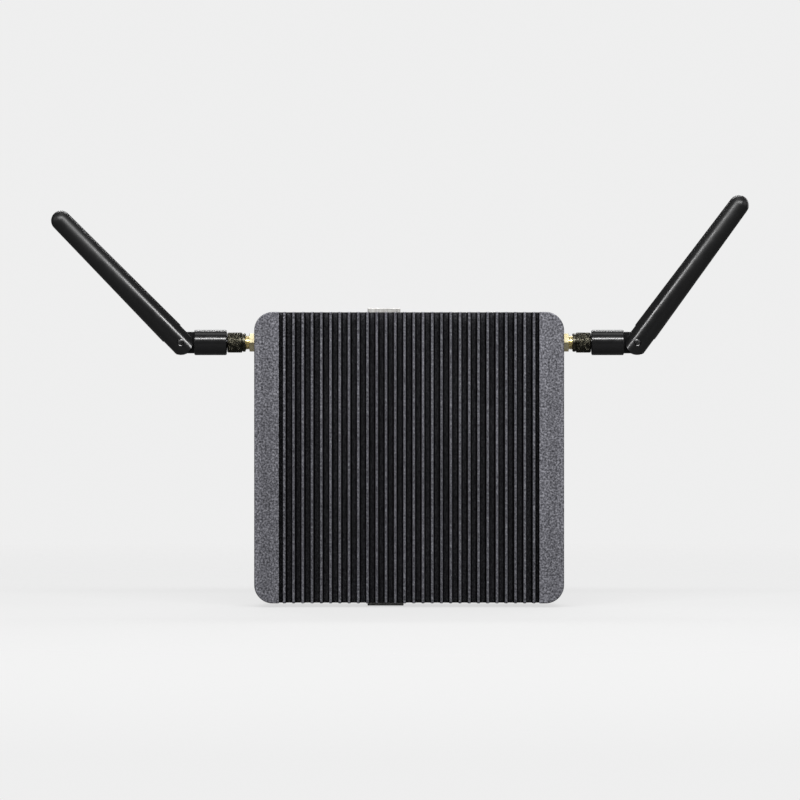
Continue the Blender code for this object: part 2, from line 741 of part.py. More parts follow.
def make_jack(name, side, finish, case):
    """A coaxial jack through the side wall, with its nut outside."""
    place = (0, AERIAL_Y, AERIAL_HEIGHT)
    hexagon = circle(4.5 * MM, 6)
    thread, end = circle(JACK_RADIUS, 18), 76 * MM
    levels = [
        (circle(1.7 * MM, 12), 56.7 * MM),
        (circle(1.7 * MM, 12), 60.6 * MM),
        (hexagon, 60.6 * MM),
        (hexagon, CASE_WIDTH / 2 - WALL - GAP),
        (thread, CASE_WIDTH / 2 - WALL - GAP),
        (thread, end),
    ]
    bore, core = circle(2.3 * MM, 18), circle(0.9 * MM, 12)
    cavity = [(bore, end), (bore, end - 4 * MM), (core, end - 4 * MM), (core, end - MM)]
    levels, cavity = flipped(levels, side), flipped(cavity, side)
    solid(f"antenna_jack_{name}", finish["gold"], case, levels, "X", [cavity], place=place)
    nut_low, nut_high = CASE_WIDTH / 2 + GAP, CASE_WIDTH / 2 + 2.6 * MM
    hole = circle(JACK_RADIUS + GAP, 18)
    levels = flipped([(hexagon, nut_low), (hexagon, nut_high)], side)
    holes = [flipped(straight_hole(hole, nut_high, nut_low), side)]
    solid(f"jack_nut_{name}", finish["gold"], case, levels, "X", holes=holes, place=place)


def make_coupling_nut(name, side, finish, case):
    """The loose nut that clamps the aerial to its jack. Its rear lip holds it on the aerial's neck."""
    place = (side * NUT_X, AERIAL_Y, AERIAL_HEIGHT)
    start, end, lip = -4 * MM, 4 * MM, 2.6 * MM
    outside, bore, neck = circle(4.4 * MM, 18), circle(3.45 * MM, 18), circle(2.7 * MM, 18)
    hole = [(neck, end), (neck, lip), (bore, lip), (bore, start)]
    levels = flipped([(outside, start), (outside, end)], side)
    holes = [flipped(hole, side)]
    solid(f"coupling_nut_{name}", finish["nut"], case, levels, "X", holes=holes, place=place)


def round_ended(radius, start, centre=0):
    """A bar that runs along X from start to a round end about the centre."""
    sweep = [-math.pi / 2 + math.pi * step / 10 for step in range(11)]
    ends = [(centre + radius * math.cos(turn), radius * math.sin(turn)) for turn in sweep]
    return ends + [(start, radius), (start, -radius)]


def make_aerial_base(name, side, finish, case):
    """The swivelling base: a neck inside the coupling nut, a sleeve and a flat tongue for the hinge pin."""
    place = (side * PIVOT_X, AERIAL_Y, AERIAL_HEIGHT)
    neck, collar, sleeve = circle(2.4 * MM, 16), circle(3.1 * MM, 16), circle(SLEEVE_RADIUS, 16)
    start, end = SLEEVE_X - PIVOT_X, -KNUCKLE - 2 * GAP
    levels = [
        (collar, start - 3.3 * MM),
        (collar, start - 2.2 * MM),
        (neck, start - 2.2 * MM),
        (neck, start),
        (circle(SLEEVE_RADIUS - 0.4 * MM, 16), start),
        (sleeve, start + 0.4 * MM),
        (sleeve, end - 0.4 * MM),
        (circle(SLEEVE_RADIUS - 0.4 * MM, 16), end),
    ]
    levels = flipped(levels, side)
    base = solid(f"antenna_base_{name}", finish["aerial"], case, levels, "X", place=place)
    tongue = [(side * u, v) for u, v in round_ended(4.7 * MM, end - MM)]
    combine(base, f"tongue_{name}", [([(tongue, -TONGUE), (tongue, TONGUE)], "Z")], "UNION")
    bore = circle(PIN_RADIUS + GAP, 16)
    combine(base, f"tongue_bore_{name}", [([(bore, -5 * MM), (bore, 5 * MM)], "Z")], "DIFFERENCE")
    pin = circle(PIN_RADIUS, 16)
    levels = [(pin, GAP - KNUCKLE), (pin, KNUCKLE - GAP)]
    solid(f"hinge_pin_{name}", finish["black_steel"], case, levels, place=place)


def make_rod(name, side, finish, case):
    """The folding rod, modelled along +X from its pivot, with a slotted knuckle round the tongue."""
    place = (side * PIVOT_X, AERIAL_Y, AERIAL_HEIGHT)
    angle = ROD_ANGLE[name]
    turn = angle if side > 0 else math.pi - angle
    levels = [(circle(KNUCKLE, 16), -KNUCKLE - MM), (circle(KNUCKLE, 16), KNUCKLE + 2 * MM)]
    for step in range(5):
        bend = math.radians(20 * step)
        height = ROD_LENGTH - TIP_RADIUS * (1 - math.sin(bend))
        levels.append((circle(TIP_RADIUS * math.cos(bend), 16), height))
    rod = solid(f"antenna_rod_{name}", finish["aerial"], case, levels, "X", place=place, turn=turn)
    end = [(-u, v) for u, v in round_ended(KNUCKLE + GAP, -ROD_LENGTH - MM, -GAP)]
    combine(rod, f"end_{name}", [([(end, -6 * MM), (end, 6 * MM)], "Z")], "INTERSECT")
    depth, width, half = KNUCKLE + GAP, 7 * MM, TONGUE + GAP
    slot = rectangle(-width, -width, depth, width)
    combine(rod, f"slot_{name}", [([(slot, -half), (slot, half)], "Z")], "DIFFERENCE")
    bore = circle(PIN_RADIUS + GAP, 16)
    combine(rod, f"pin_bore_{name}", [([(bore, -7 * MM), (bore, 7 * MM)], "Z")], "DIFFERENCE")


def smooth_route(stops, steps):
    """Points on a smooth curve through the stops."""
    stops = [Vector(stop) * MM for stop in stops]
    ends = [2 * stops[0] - stops[1]] + stops + [2 * stops[-1] - stops[-2]]
    points = []
    for a, b, c, d in zip(ends, ends[1:], ends[2:], ends[3:]):
        for step in range(steps):
            t = step / steps
            bent = (2 * a - 5 * b + 4 * c - d) * t**2 + (3 * b - a - 3 * c + d) * t**3
            points.append((2 * b + (c - a) * t + bent) / 2)
    return points + [stops[-1]]


def make_cable(name, stops, finish, case):
    """A thin coaxial lead inside the case, from an aerial jack to the wireless card."""
    curve = bpy.data.curves.new(name, "CURVE")
    curve.dimensions = "3D"
    curve.bevel_depth = 0.6 * MM
    curve.bevel_resolution = 2
    curve.use_fill_caps = True
    points = smooth_route(stops, 3)
    spline = curve.splines.new("POLY")
    spline.points.add(len(points) - 1)
    for slot, point in zip(spline.points, points):
        slot.co = (*point, 1)
    curve.materials.append(finish["cable"])
    cable = bpy.data.objects.new(name, curve)
    cable.parent = case
    bpy.context.scene.collection.objects.link(cable)


def make_cables(finish, case):
    left = [(-56.3, 50, 16), (-50, 48.8, 16), (-40, 43, 15.8), (-22, 37, 15.4), (4, 35.6, 15)]
    left += [(20, 36.6, 14.6), (27, 38.6, 13.8), (30, 38.4, 13), (30, 35.6, 12.4)]
    make_cable("rf_cable_left", left, finish, case)
    right = [(56.3, 50, 16), (53, 49.6, 16), (50.8, 47.2, 16), (50, 43.5, 15.4)]
    right += [(46.5, 39.8, 14.2), (42, 38.2, 13.1), (40, 35.6, 12.4)]
    make_cable("rf_cable_right", right, finish, case)


def main():
    for thing in list(bpy.data.objects):
        bpy.data.objects.remove(thing)
    stand = bpy.data.objects.new("stand", None)
    stand.rotation_euler = (math.pi / 2, 0, 0)
    case = bpy.data.objects.new("case_frame", None)
    case.parent = stand
    case.location = (0, 0, CASE_GAP)
    for frame in (stand, case):
        bpy.context.scene.collection.objects.link(frame)
    finish = make_finishes()
    make_bracket(finish, stand)
    make_bracket_screws(finish, stand)
    make_cover(finish, case)
    make_lid(finish, case)
    make_lid_screws(finish, case)
    make_studs(finish, case)
    make_feet(finish, case)
    make_panels(finish, case)
    make_panel_screws(finish, case)
    make_mainboard(finish, case)
    make_board_screws(finish, case)
    make_processor(finish, case)
    make_memory(finish, case)
    make_cards(finish, case)
    make_clock_battery(finish, case)
    make_sockets(finish, case)
    make_controls(finish, case)
    make_cables(finish, case)
    for name, side in SIDES.items():
        make_jack(name, side, finish, case)
        make_coupling_nut(name, side, finish, case)
        make_aerial_base(name, side, finish, case)
        make_rod(name, side, finish, case)


main()
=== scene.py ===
"""The looks of the fanless mini PC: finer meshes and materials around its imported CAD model.

Lengths are in millimetres until ring() makes a vertex of them. Each piece is modelled lying on its back,
as in the CAD: X to the right, Y towards the rear sockets and Z from the wall out to the fins.
add_piece() turns it upright, so that the fins face -Y.
"""

import json
from math import asin, atan2, copysign, cos, pi, radians, remainder, sin, tan

import bmesh
import bpy
from mathutils import Matrix, Vector


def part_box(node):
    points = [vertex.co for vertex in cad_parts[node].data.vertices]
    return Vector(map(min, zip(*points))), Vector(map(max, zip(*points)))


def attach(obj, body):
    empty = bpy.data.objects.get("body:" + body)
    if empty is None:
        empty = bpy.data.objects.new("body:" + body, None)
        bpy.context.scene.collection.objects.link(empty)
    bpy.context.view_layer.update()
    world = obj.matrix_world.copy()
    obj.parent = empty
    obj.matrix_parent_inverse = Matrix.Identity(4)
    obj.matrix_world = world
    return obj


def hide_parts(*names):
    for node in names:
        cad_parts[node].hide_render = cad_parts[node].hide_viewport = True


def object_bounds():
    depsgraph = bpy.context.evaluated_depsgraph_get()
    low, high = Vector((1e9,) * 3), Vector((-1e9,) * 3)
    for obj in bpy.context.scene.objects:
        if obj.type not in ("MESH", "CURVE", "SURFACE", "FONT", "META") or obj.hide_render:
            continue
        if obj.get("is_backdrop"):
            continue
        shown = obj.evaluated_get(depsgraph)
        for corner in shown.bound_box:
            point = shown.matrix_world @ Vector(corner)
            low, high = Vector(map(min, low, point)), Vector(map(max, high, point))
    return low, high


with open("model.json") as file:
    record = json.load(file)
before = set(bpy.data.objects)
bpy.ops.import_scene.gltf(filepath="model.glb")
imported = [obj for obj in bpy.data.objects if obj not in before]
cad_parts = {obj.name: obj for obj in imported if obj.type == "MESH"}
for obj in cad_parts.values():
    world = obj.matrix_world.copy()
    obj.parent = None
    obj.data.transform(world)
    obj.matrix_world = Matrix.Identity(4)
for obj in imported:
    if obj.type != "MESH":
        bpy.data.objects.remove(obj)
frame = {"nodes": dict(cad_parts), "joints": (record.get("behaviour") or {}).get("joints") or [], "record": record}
MM = 0.001
STAND = Matrix.Rotation(pi / 2, 4, "X")
SHARP_ANGLE = radians(35)
CORNERS = ((-1, -1), (1, -1), (1, 1), (-1, 1))
SIDES = {"left": -1, "right": 1}
GAP = 0.3

# How a point of an outline (u, v) at height h along the axis lies in X, Y and Z
LAYOUT = {
    "X": lambda u, v, h: (h, u, v),
    "Y": lambda u, v, h: (u, h, v),
    "Z": lambda u, v, h: (u, v, h),
}


def lying_box(node):
    """The lowest and highest corner of a CAD node, lying on its back."""
    low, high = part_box(node)
    return Vector((low.x, low.z, -high.y)) / MM, Vector((high.x, high.z, -low.y)) / MM


def middle_of(node):
    low, high = lying_box(node)
    return (low + high) / 2


# Sizes taken from the frame
COVER_LOW, COVER_HIGH = lying_box("heatsink_cover")
BASE_LOW, BASE_HIGH = lying_box("base_plate")
BRACKET_HIGH = lying_box("vesa_bracket")[1]
CASE = (0, 0, BASE_LOW.z)
HALF_WIDTH = COVER_HIGH.x
HALF_LENGTH = COVER_HIGH.y
LID = BASE_HIGH.z - BASE_LOW.z
CASE_HEIGHT = COVER_HIGH.z - BASE_LOW.z
COVER_START = COVER_LOW.z - BASE_LOW.z

# Case
CASE_CORNER = 8
WALL = 3
FIN_FLOOR = CASE_HEIGHT - 8
FIN_COUNT = 28
FIN_PITCH = 4
FIN_TIP = 1.1
FIN_ROOT = 2
FLANGE = 10.75
CEILING = 24.5
PANEL = 2
PANEL_HALF_WIDTH = 58.7
POST_INSIDE = 52
POST_FACE = 55.7
PANEL_TOP = CEILING - GAP
PANEL_BOTTOM = LID + GAP
BOARD_LOW = 5.5
SEAT = 7.4
CONTROL_HEIGHT = 11

# Screws and studs: places, radii of the shank and head, and their clearance holes
BOARD_SCREW = (56, 50)
STANDOFF = 3
LID_SCREW = (60.3, 57.6)
LID_SCREW_LENGTH = 8
LID_SHANK, LID_HEAD, LID_DRILL = 1.4, 2.5, 1.8
PANEL_SCREWS_X = (-55.5, 55.5)
PANEL_SCREW_HEIGHT = 13
PANEL_SCREW_LENGTH = 6
PANEL_SHANK, PANEL_HEAD, PANEL_DRILL = 1.2, 2.3, 1.55
STUD_REACH = 35
STUD_SHANK, STUD_HEAD = 1.8, 3.2

# Bracket
SHEET = 1.2
PLATFORM_RISE = BRACKET_HIGH.z - SHEET
PLATFORM_FOOT = 49.5
PLATFORM_SLOPE = 2.8
ARM_FOOT = 30
BRACKET_BORE = 20
VESA_LARGE = 50
VESA_SMALL = 37.5
VESA_HOLE = 2.4
KEYHOLE_TRAVEL = 7
KEYHOLE_WIDE = 3.6
KEYHOLE_SLOT = 2.1

# Sockets: widths and heights, and the depths of their openings
LAN_WIDTH, LAN_HEIGHT, LAN_DEPTH = 15.9, 13.4, 14
USB_HEIGHT, USB_DEPTH = 15.2, 10
USB_WIDTH = {"usb_stack_rear": 14.5, "usb_stack_front": 15.7}
HDMI_DEPTH = 8
BARREL = 4.2
BUTTON_HOLE, LIGHT_HOLE = 6, 1.6

# Aerials
SLEEVE_RADIUS = 5.5
KNUCKLE = 5.3
ROD_LENGTH = 79
TIP_RADIUS = 4.4
JACK_RADIUS = 3.1
JACK_HEXAGON = 4.5
COUPLING_RADIUS = 4.4
PIN_RADIUS = 1.2
TONGUE = 1.5


# Outlines


def around(sides, reach, centre=(0, 0)):
    """A closed outline whose radius about the centre is reach(turn)."""
    u, v = centre
    turns = [2 * pi * (step + 0.5) / sides for step in range(sides)]
    return [(u + reach(turn) * cos(turn), v + reach(turn) * sin(turn)) for turn in turns]


def circle(radius, sides, centre=(0, 0)):
    return around(sides, lambda turn: radius, centre)


def arc(radius, start, sweep, steps, centre=(0, 0)):
    """Points on a circle, from the angle start through the sweep."""
    turns = [start + sweep * step / steps for step in range(steps + 1)]
    return [(centre[0] + radius * cos(turn), centre[1] + radius * sin(turn)) for turn in turns]


def rectangle(left, bottom, right, top):
    return [(left, bottom), (right, bottom), (right, top), (left, top)]


def filleted(corners, radii, steps):
    """The outline with its corners rounded, inside corners too. One radius, or one for each corner."""
    if not isinstance(radii, (list, tuple)):
        radii = [radii] * len(corners)
    points = []
    before = corners[-1:] + corners[:-1]
    after = corners[1:] + corners[:1]
    for previous, corner, following, radius in zip(before, corners, after, radii):
        if radius == 0:
            points.append(tuple(corner))
            continue
        corner = Vector(corner)
        back = (Vector(previous) - corner).normalized()
        ahead = (Vector(following) - corner).normalized()
        half = back.angle(ahead) / 2
        centre = corner + (back + ahead).normalized() * radius / sin(half)
        first = corner + back * radius / tan(half) - centre
        last = corner + ahead * radius / tan(half) - centre
        start = atan2(first.y, first.x)
        sweep = remainder(atan2(last.y, last.x) - start, 2 * pi)
        points += arc(radius, start, sweep, steps, centre)
    return points


def rounded_box(width, height, radius, centre, steps):
    u, v = centre
    corners = rectangle(u - width / 2, v - height / 2, u + width / 2, v + height / 2)
    return filleted(corners, radius, steps)


def cross(reach, arm, radius, steps):
    """A plus-shaped outline with rounded corners, reach and arm being half its size and arm width."""
    corners = [(arm, -reach), (arm, -arm), (reach, -arm), (reach, arm), (arm, arm), (arm, reach)]
    corners += [(-u, -v) for u, v in corners]
    return filleted(corners, radius, steps)


def keyhole(centre):
    """A round hole with a slot below it, centred on the stud's resting place."""
    mouth = asin(KEYHOLE_SLOT / KEYHOLE_WIDE)
    above = (centre[0], centre[1] + KEYHOLE_TRAVEL)
    hole = arc(KEYHOLE_WIDE, mouth - pi / 2, 2 * (pi - mouth), 28, above)
    return hole + arc(KEYHOLE_SLOT, pi, pi, 14, centre)


def round_ended(radius, start, centre=0):
    """A bar that runs along X from start to a round end about the centre."""
    return arc(radius, -pi / 2, pi, 28, (centre, 0)) + [(start, radius), (start, -radius)]


def offset(outline, distance):
    """The outline moved outwards by the distance, or inwards where it is negative."""
    after = outline[1:] + outline[:1]
    before = outline[-1:] + outline[:-1]
    area = sum(a[0] * b[1] - b[0] * a[1] for a, b in zip(outline, after))
    outward = copysign(1, area) * distance
    points = []
    for previous, point, following in zip(before, outline, after):
        back = (Vector(point) - Vector(previous)).normalized()
        ahead = (Vector(following) - Vector(point)).normalized()
        one, other = Vector((back.y, -back.x)), Vector((ahead.y, -ahead.x))
        moved = Vector(point) + (one + other) * outward / (1 + one.dot(other))
        points.append((moved.x, moved.y))
    return points


# Levels: outlines at heights along an axis


def eased(outline, start, end, radius, rims=(True, True), hole=False):
    """Levels from start to end with the rims rounded. A hole widens at its rims, and a solid narrows."""
    way = copysign(1, end - start)
    grow = radius if hole else -radius
    steps = 3
    turns = [pi / 2 * step / steps for step in range(steps + 1)]
    rim = [(grow * (1 - sin(turn)), radius * (1 - cos(turn))) for turn in turns]
    first = [(offset(outline, out), start + way * along) for out, along in rim]
    last = [(offset(outline, out), end - way * along) for out, along in reversed(rim)]
    return (first if rims[0] else [(outline, start)]) + (last if rims[1] else [(outline, end)])


def turned(profile, sides, centre=(0, 0)):
    """Levels of a turned piece, from a profile of (radius, height)."""
    return [(circle(radius, sides, centre), height) for radius, height in profile]


def domed(radius, start, crown, sides, steps, centre=(0, 0)):
    """Levels of a low dome that rises by the crown from a round rim."""
    bends = [pi / 2 * step / (steps + 0.4) for step in range(1, steps + 1)]
    profile = [(radius * cos(bend), start + crown * sin(bend)) for bend in bends]
    return turned(profile, sides, centre)


def grooved(start, end, rows, sides, reach):
    """Levels of a round body whose radius is reach(turn, height)."""
    heights = [start + (end - start) * row / rows for row in range(rows + 1)]
    return [(around(sides, lambda turn: reach(turn, height)), height) for height in heights]


def threaded(radius, start, end, pitch, depth):
    """Levels of a helical thread that fades out at both ends."""

    def reach(turn, height):
        ease = min(1, (height - start) / pitch, (end - height) / pitch)
        phase = (height / pitch - turn / (2 * pi)) % 1
        ridge = min(1, max(0, 1.6 * abs(2 * phase - 1) - 0.3))
        return radius - depth * (1 - ridge * ease)

    return grooved(start, end, round((end - start) / pitch * 8), 32, reach)


def knurled(radius, start, end, depth, teeth, sides):
    """Levels of a diamond knurl between two plain ends."""
    rows = round((end - start) / 0.16)
    fade = 2 * (end - start) / rows
    slant = teeth / radius

    def reach(turn, height):
        ease = min(1, (height - start) / fade, (end - height) / fade)
        one = abs(sin((teeth * turn + slant * height) / 2))
        other = abs(sin((teeth * turn - slant * height) / 2))
        return radius - depth * ease * (1 - min(1, 1.7 * min(one, other)))

    return grooved(start, end, rows, sides, reach)


# Solids


def ring(bm, outline, height, axis):
    return [bm.verts.new([size * MM for size in LAYOUT[axis](u, v, height)]) for u, v in outline]


def fill(bm, loops):
    """A flat face inside the first loop and outside the others."""
    if len(loops) == 1:
        bm.faces.new(loops[0])
        return
    pairs = [pair for loop in loops for pair in zip(loop, loop[1:] + loop[:1])]
    edges = [bm.edges.get(pair) or bm.edges.new(pair) for pair in pairs]
    bmesh.ops.triangle_fill(bm, use_beauty=True, edges=edges)


def bridge(bm, one, other):
    """Walls between two loops: side by side where they match, a flat ring where they don't."""
    if len(one) != len(other):
        fill(bm, [one, other])
        return
    for a, b, c, d in zip(one, one[1:] + one[:1], other[1:] + other[:1], other):
        bm.faces.new((a, b, c, d))


def climb(bm, levels, axis, side=1):
    """Rings through the levels, bridged one to the next. They point the other way where side is -1."""
    rings = [ring(bm, outline, height * side, axis) for outline, height in levels]
    for one, other in zip(rings, rings[1:]):
        bridge(bm, one, other)
    return rings


def to_mesh(name, bm):
    mesh = bpy.data.meshes.new(name)
    bm.to_mesh(mesh)
    bm.free()
    return mesh


def body_mesh(name, levels, axis="Z", side=1, features=(), holes=()):
    """One closed body: outlines stacked along the axis, from a first cap to a last one.

    A feature is a chain of levels that starts on the last cap and rises from it or sinks into it.
    A hole is a chain of levels from the last cap to the first one.
    """
    bm = bmesh.new()
    body = climb(bm, levels, axis, side)
    chains = [climb(bm, chain, axis, side) for chain in features]
    for chain in chains:
        fill(bm, [chain[-1]])
    bores = [climb(bm, hole, axis, side) for hole in holes]
    fill(bm, [body[0]] + [bore[-1] for bore in bores])
    fill(bm, [body[-1]] + [chain[0] for chain in chains] + [bore[0] for bore in bores])
    bmesh.ops.recalc_face_normals(bm, faces=bm.faces)
    if bm.calc_volume(signed=True) < 0:
        bmesh.ops.reverse_faces(bm, faces=bm.faces)
    return to_mesh(name, bm)


def bar(outline, start, end, axis="Z", side=1):
    """A straight bar or cutter."""
    return body_mesh("bar", [(outline, start), (outline, end)], axis, side)


def gathered(meshes):
    """One mesh that holds all of these, which are removed."""
    bm = bmesh.new()
    for mesh in meshes:
        bm.from_mesh(mesh)
        bpy.data.meshes.remove(mesh)
    return to_mesh("gathered", bm)


def add_object(name, data):
    made = bpy.data.objects.new(name, data)
    bpy.context.scene.collection.objects.link(made)
    return made


def evaluated(mesh, set_up):
    """The mesh after the modifiers that set_up adds to an object holding it."""
    holder = add_object("holder", mesh)
    set_up(holder)
    graph = bpy.context.evaluated_depsgraph_get()
    result = bpy.data.meshes.new_from_object(holder.evaluated_get(graph))
    name = mesh.name
    bpy.data.objects.remove(holder)
    bpy.data.meshes.remove(mesh)
    result.name = name
    return result


def carved(mesh, tools, operation="DIFFERENCE"):
    """The mesh after a Boolean with all of the tool meshes, which are removed."""
    cutter = gathered(tools)
    tool = add_object("tool", cutter)

    def set_up(holder):
        cut = holder.modifiers.new("cut", "BOOLEAN")
        cut.operation = operation
        cut.solver = "EXACT"
        cut.object = tool

    result = evaluated(mesh, set_up)
    bpy.data.objects.remove(tool)
    bpy.data.meshes.remove(cutter)
    return result


def softened(mesh, width):
    """The mesh with its flat areas cleaned up and its sharp edges rounded."""

    def set_up(holder):
        weld = holder.modifiers.new("weld", "WELD")
        weld.merge_threshold = 0.004 * MM
        flat = holder.modifiers.new("flat", "DECIMATE")
        flat.decimate_type = "DISSOLVE"
        flat.angle_limit = radians(0.6)
        bevel = holder.modifiers.new("bevel", "BEVEL")
        bevel.width = width * MM
        bevel.segments = 2
        bevel.limit_method = "ANGLE"
        bevel.angle_limit = radians(40)

    return evaluated(mesh, set_up)


def add_piece(name, mesh, slot, node=None, body="case", place=CASE, turn=0):
    """Stands a lying mesh upright at its place. It rides on the body, and may replace a CAD node."""
    lying = Matrix.Translation(Vector(place) * MM) @ Matrix.Rotation(turn, 4, "Z")
    mesh.transform(STAND @ lying)
    mesh.materials.clear()
    mesh.materials.append(bpy.data.materials[slot])
    mesh.shade_smooth()
    mesh.set_sharp_from_angle(angle=SHARP_ANGLE)
    piece = add_object(name, mesh)
    piece.modifiers.new("normals", "WEIGHTED_NORMAL").keep_sharp = True
    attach(piece, body)
    if node:
        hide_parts(node)


# Finishes: each is named after its material slot in the record


def feed(tree, node, inputs):
    """Sets a node's inputs, each to a value or to another node's output."""
    for label, value in inputs.items():
        if isinstance(value, bpy.types.NodeSocket):
            tree.links.new(value, node.inputs[label])
        else:
            node.inputs[label].default_value = value


class Finish:
    """A procedural material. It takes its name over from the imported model's own plain material."""

    def __init__(self, name, colour, roughness, metallic=0.0, **constants):
        plain_one = bpy.data.materials.get(name)
        if plain_one:
            plain_one.name = f"{name}_cad"
        self.material = bpy.data.materials.new(name)
        self.material.use_nodes = True
        self.tree = self.material.node_tree
        self.set(Base_Color=(*colour, 1), Roughness=roughness, Metallic=metallic, **constants)

    def set(self, **inputs):
        """Sets the shader's inputs."""
        shader = self.tree.nodes["Principled BSDF"]
        feed(self.tree, shader, {label.replace("_", " "): value for label, value in inputs.items()})

    def add(self, kind, inputs):
        node = self.tree.nodes.new(f"ShaderNode{kind}")
        feed(self.tree, node, inputs)
        return node

    def place(self, stretch=(1, 1, 1)):
        """The place on the piece, in metres, stretched along the upright axes."""
        place = self.add("TexCoord", {}).outputs["Object"]
        return self.add("Mapping", {"Vector": place, "Scale": stretch}).outputs["Vector"]

    def along(self, axis, stretch=(1, 1, 1)):
        """How far along an upright axis a place is."""
        return self.add("SeparateXYZ", {"Vector": self.place(stretch)}).outputs[axis]

    def noise(self, size, detail, stretch=(1, 1, 1)):
        """Cloudy noise whose lumps are about the size given."""
        inputs = {"Scale": 1 / (size * MM), "Detail": detail, "Vector": self.place(stretch)}
        return self.add("TexNoise", inputs).outputs["Fac"]

    def cells(self, size, feature):
        node = self.add("TexVoronoi", {"Scale": 1 / (size * MM), "Vector": self.place()})
        node.feature = feature
        return node.outputs["Distance"]

    def ranged(self, source, low, high, start=0.3, stop=0.7):
        """The source's values from start to stop, spread from low to high."""
        inputs = {"Value": source, "From Min": start, "From Max": stop, "To Min": low, "To Max": high}
        return self.add("MapRange", inputs).outputs["Result"]

    def calculated(self, operation, one, other=0):
        node = self.add("Math", {0: one, 1: other})
        node.operation = operation
        return node.outputs["Value"]

    def ramped(self, source, stops):
        """Colours along the source's values. Each stop is (position, colour)."""
        node = self.add("ValToRGB", {"Fac": source})
        elements = node.color_ramp.elements
        while len(elements) < len(stops):
            elements.new(0.5)
        for element, (position, colour) in zip(elements, stops):
            element.position = position
            element.color = (*colour, 1)
        return node.outputs["Color"]

    def scaled(self, colour, factor):
        """A colour made lighter or darker by a factor that varies over the surface."""
        node = self.add("VectorMath", {0: colour})
        node.operation = "SCALE"
        feed(self.tree, node, {"Scale": factor})
        return node.outputs["Vector"]

    def bumped(self, height, depth, strength):
        """Raised and sunk places up to the depth given."""
        inputs = {"Height": height, "Distance": depth * MM, "Strength": strength}
        self.set(Normal=self.add("Bump", inputs).outputs["Normal"])


def grey(value, tint=0.0):
    """A grey, or a cool grey where it has a tint."""
    return (value, value, value * (1 + tint))


def grained_finish(name, colour, roughness, metallic, grain, stops, gloss, bump=None, **constants):
    """A finish whose colour follows a grain, with a gloss that varies and a fine bump.

    A grain is the size and detail of a noise, and its stretch where it has one. Stops are the colours
    along it. Gloss is the lowest and highest roughness and their grain. Bump is a depth, a strength
    and a grain.
    """
    finish = Finish(name, colour, roughness, metallic, **constants)
    smoothest, roughest, patches = gloss
    finish.set(Base_Color=finish.ramped(finish.noise(*grain), stops))
    finish.set(Roughness=finish.ranged(finish.noise(*patches), smoothest, roughest))
    if bump:
        depth, strength, relief = bump
        finish.bumped(finish.noise(*relief), depth, strength)


def moulded_finish(name, shade, roughness, size=0.35):
    """Black moulded plastic or rubber with a spark-eroded grain of this size."""
    spark = (size, 2)
    stops = [(0.3, grey(shade * 0.75)), (0.7, grey(shade * 1.4, 0.04))]
    gloss = (roughness - 0.05, roughness + 0.07, (6, 2))
    grained_finish(name, grey(shade), roughness, 0, spark, stops, gloss, (0.02, 0.45, spark))


def coated_finishes():
    """Glossy powder coat with a slight orange peel and specks of dust, and a sandy satin coat."""
    dusty = [(0.0, (0.006, 0.008, 0.012)), (0.7, (0.009, 0.012, 0.017)), (0.78, grey(0.05))]
    peel = (0.03, 0.5, (1.6, 2))
    coat = {"Coat_Weight": 0.5, "Coat_Roughness": 0.08}
    gloss = (0.12, 0.24, (12, 3))
    grained_finish("painted_steel", (0.007, 0.009, 0.013), 0.15, 0, (0.35, 1), dusty, gloss, peel, **coat)
    sand = (0.5, 3)
    stops = [(0.3, grey(0.009)), (0.7, grey(0.024, 0.04))]
    gloss = (0.42, 0.56, (9, 2))
    grained_finish("black_panel", grey(0.014), 0.5, 0, sand, stops, gloss, (0.05, 0.6, sand))


def metal_finishes():
    """Zinc with a cool tint that drifts, black steel, drawn nickel, gold, black nickel and copper."""
    tints = [(0.3, (0.52, 0.54, 0.57)), (0.55, (0.66, 0.66, 0.65)), (0.75, (0.7, 0.67, 0.58))]
    scuffs = (0.18, 0.4, (0.4, 3))
    grained_finish("zinc_steel", grey(0.62), 0.28, 1, (3, 2), tints, scuffs, (0.01, 0.5, (0.25, 2)))
    wear = (0.8, 3)
    stops = [(0.35, grey(0.02)), (0.8, grey(0.075))]
    grained_finish("black_steel", grey(0.03), 0.38, 0.9, wear, stops, (0.3, 0.48, wear))
    drawn = (0.2, 2, (1, 1, 0.06))
    stops = [(0.25, (0.52, 0.51, 0.49)), (0.75, (0.68, 0.67, 0.65))]
    gloss = (0.34, 0.46, drawn)
    grained_finish("nickel_shell", (0.6, 0.59, 0.57), 0.4, 1, drawn, stops, gloss, (0.006, 0.4, drawn))
    stops = [(0.3, (0.8, 0.69, 0.4)), (0.6, (0.92, 0.83, 0.54)), (0.8, (0.95, 0.9, 0.68))]
    gloss = (0.28, 0.4, (0.3, 2))
    grained_finish("gold_plate", (0.83, 0.7, 0.36), 0.34, 1, (1.8, 2), stops, gloss)
    handled = (0.9, 4)
    stops = [(0.3, (0.03, 0.03, 0.024)), (0.55, (0.07, 0.066, 0.05)), (0.8, (0.3, 0.28, 0.2))]
    gloss = (0.24, 0.42, handled)
    grained_finish("dark_nickel", (0.08, 0.075, 0.06), 0.3, 1, handled, stops, gloss)
    milled = (0.3, 2, (0.05, 1, 1))
    stops = [(0.3, (0.62, 0.3, 0.18)), (0.7, (0.82, 0.46, 0.3))]
    gloss = (0.22, 0.4, milled)
    grained_finish("copper_block", (0.75, 0.38, 0.24), 0.3, 1, milled, stops, gloss, (0.01, 0.4, milled))


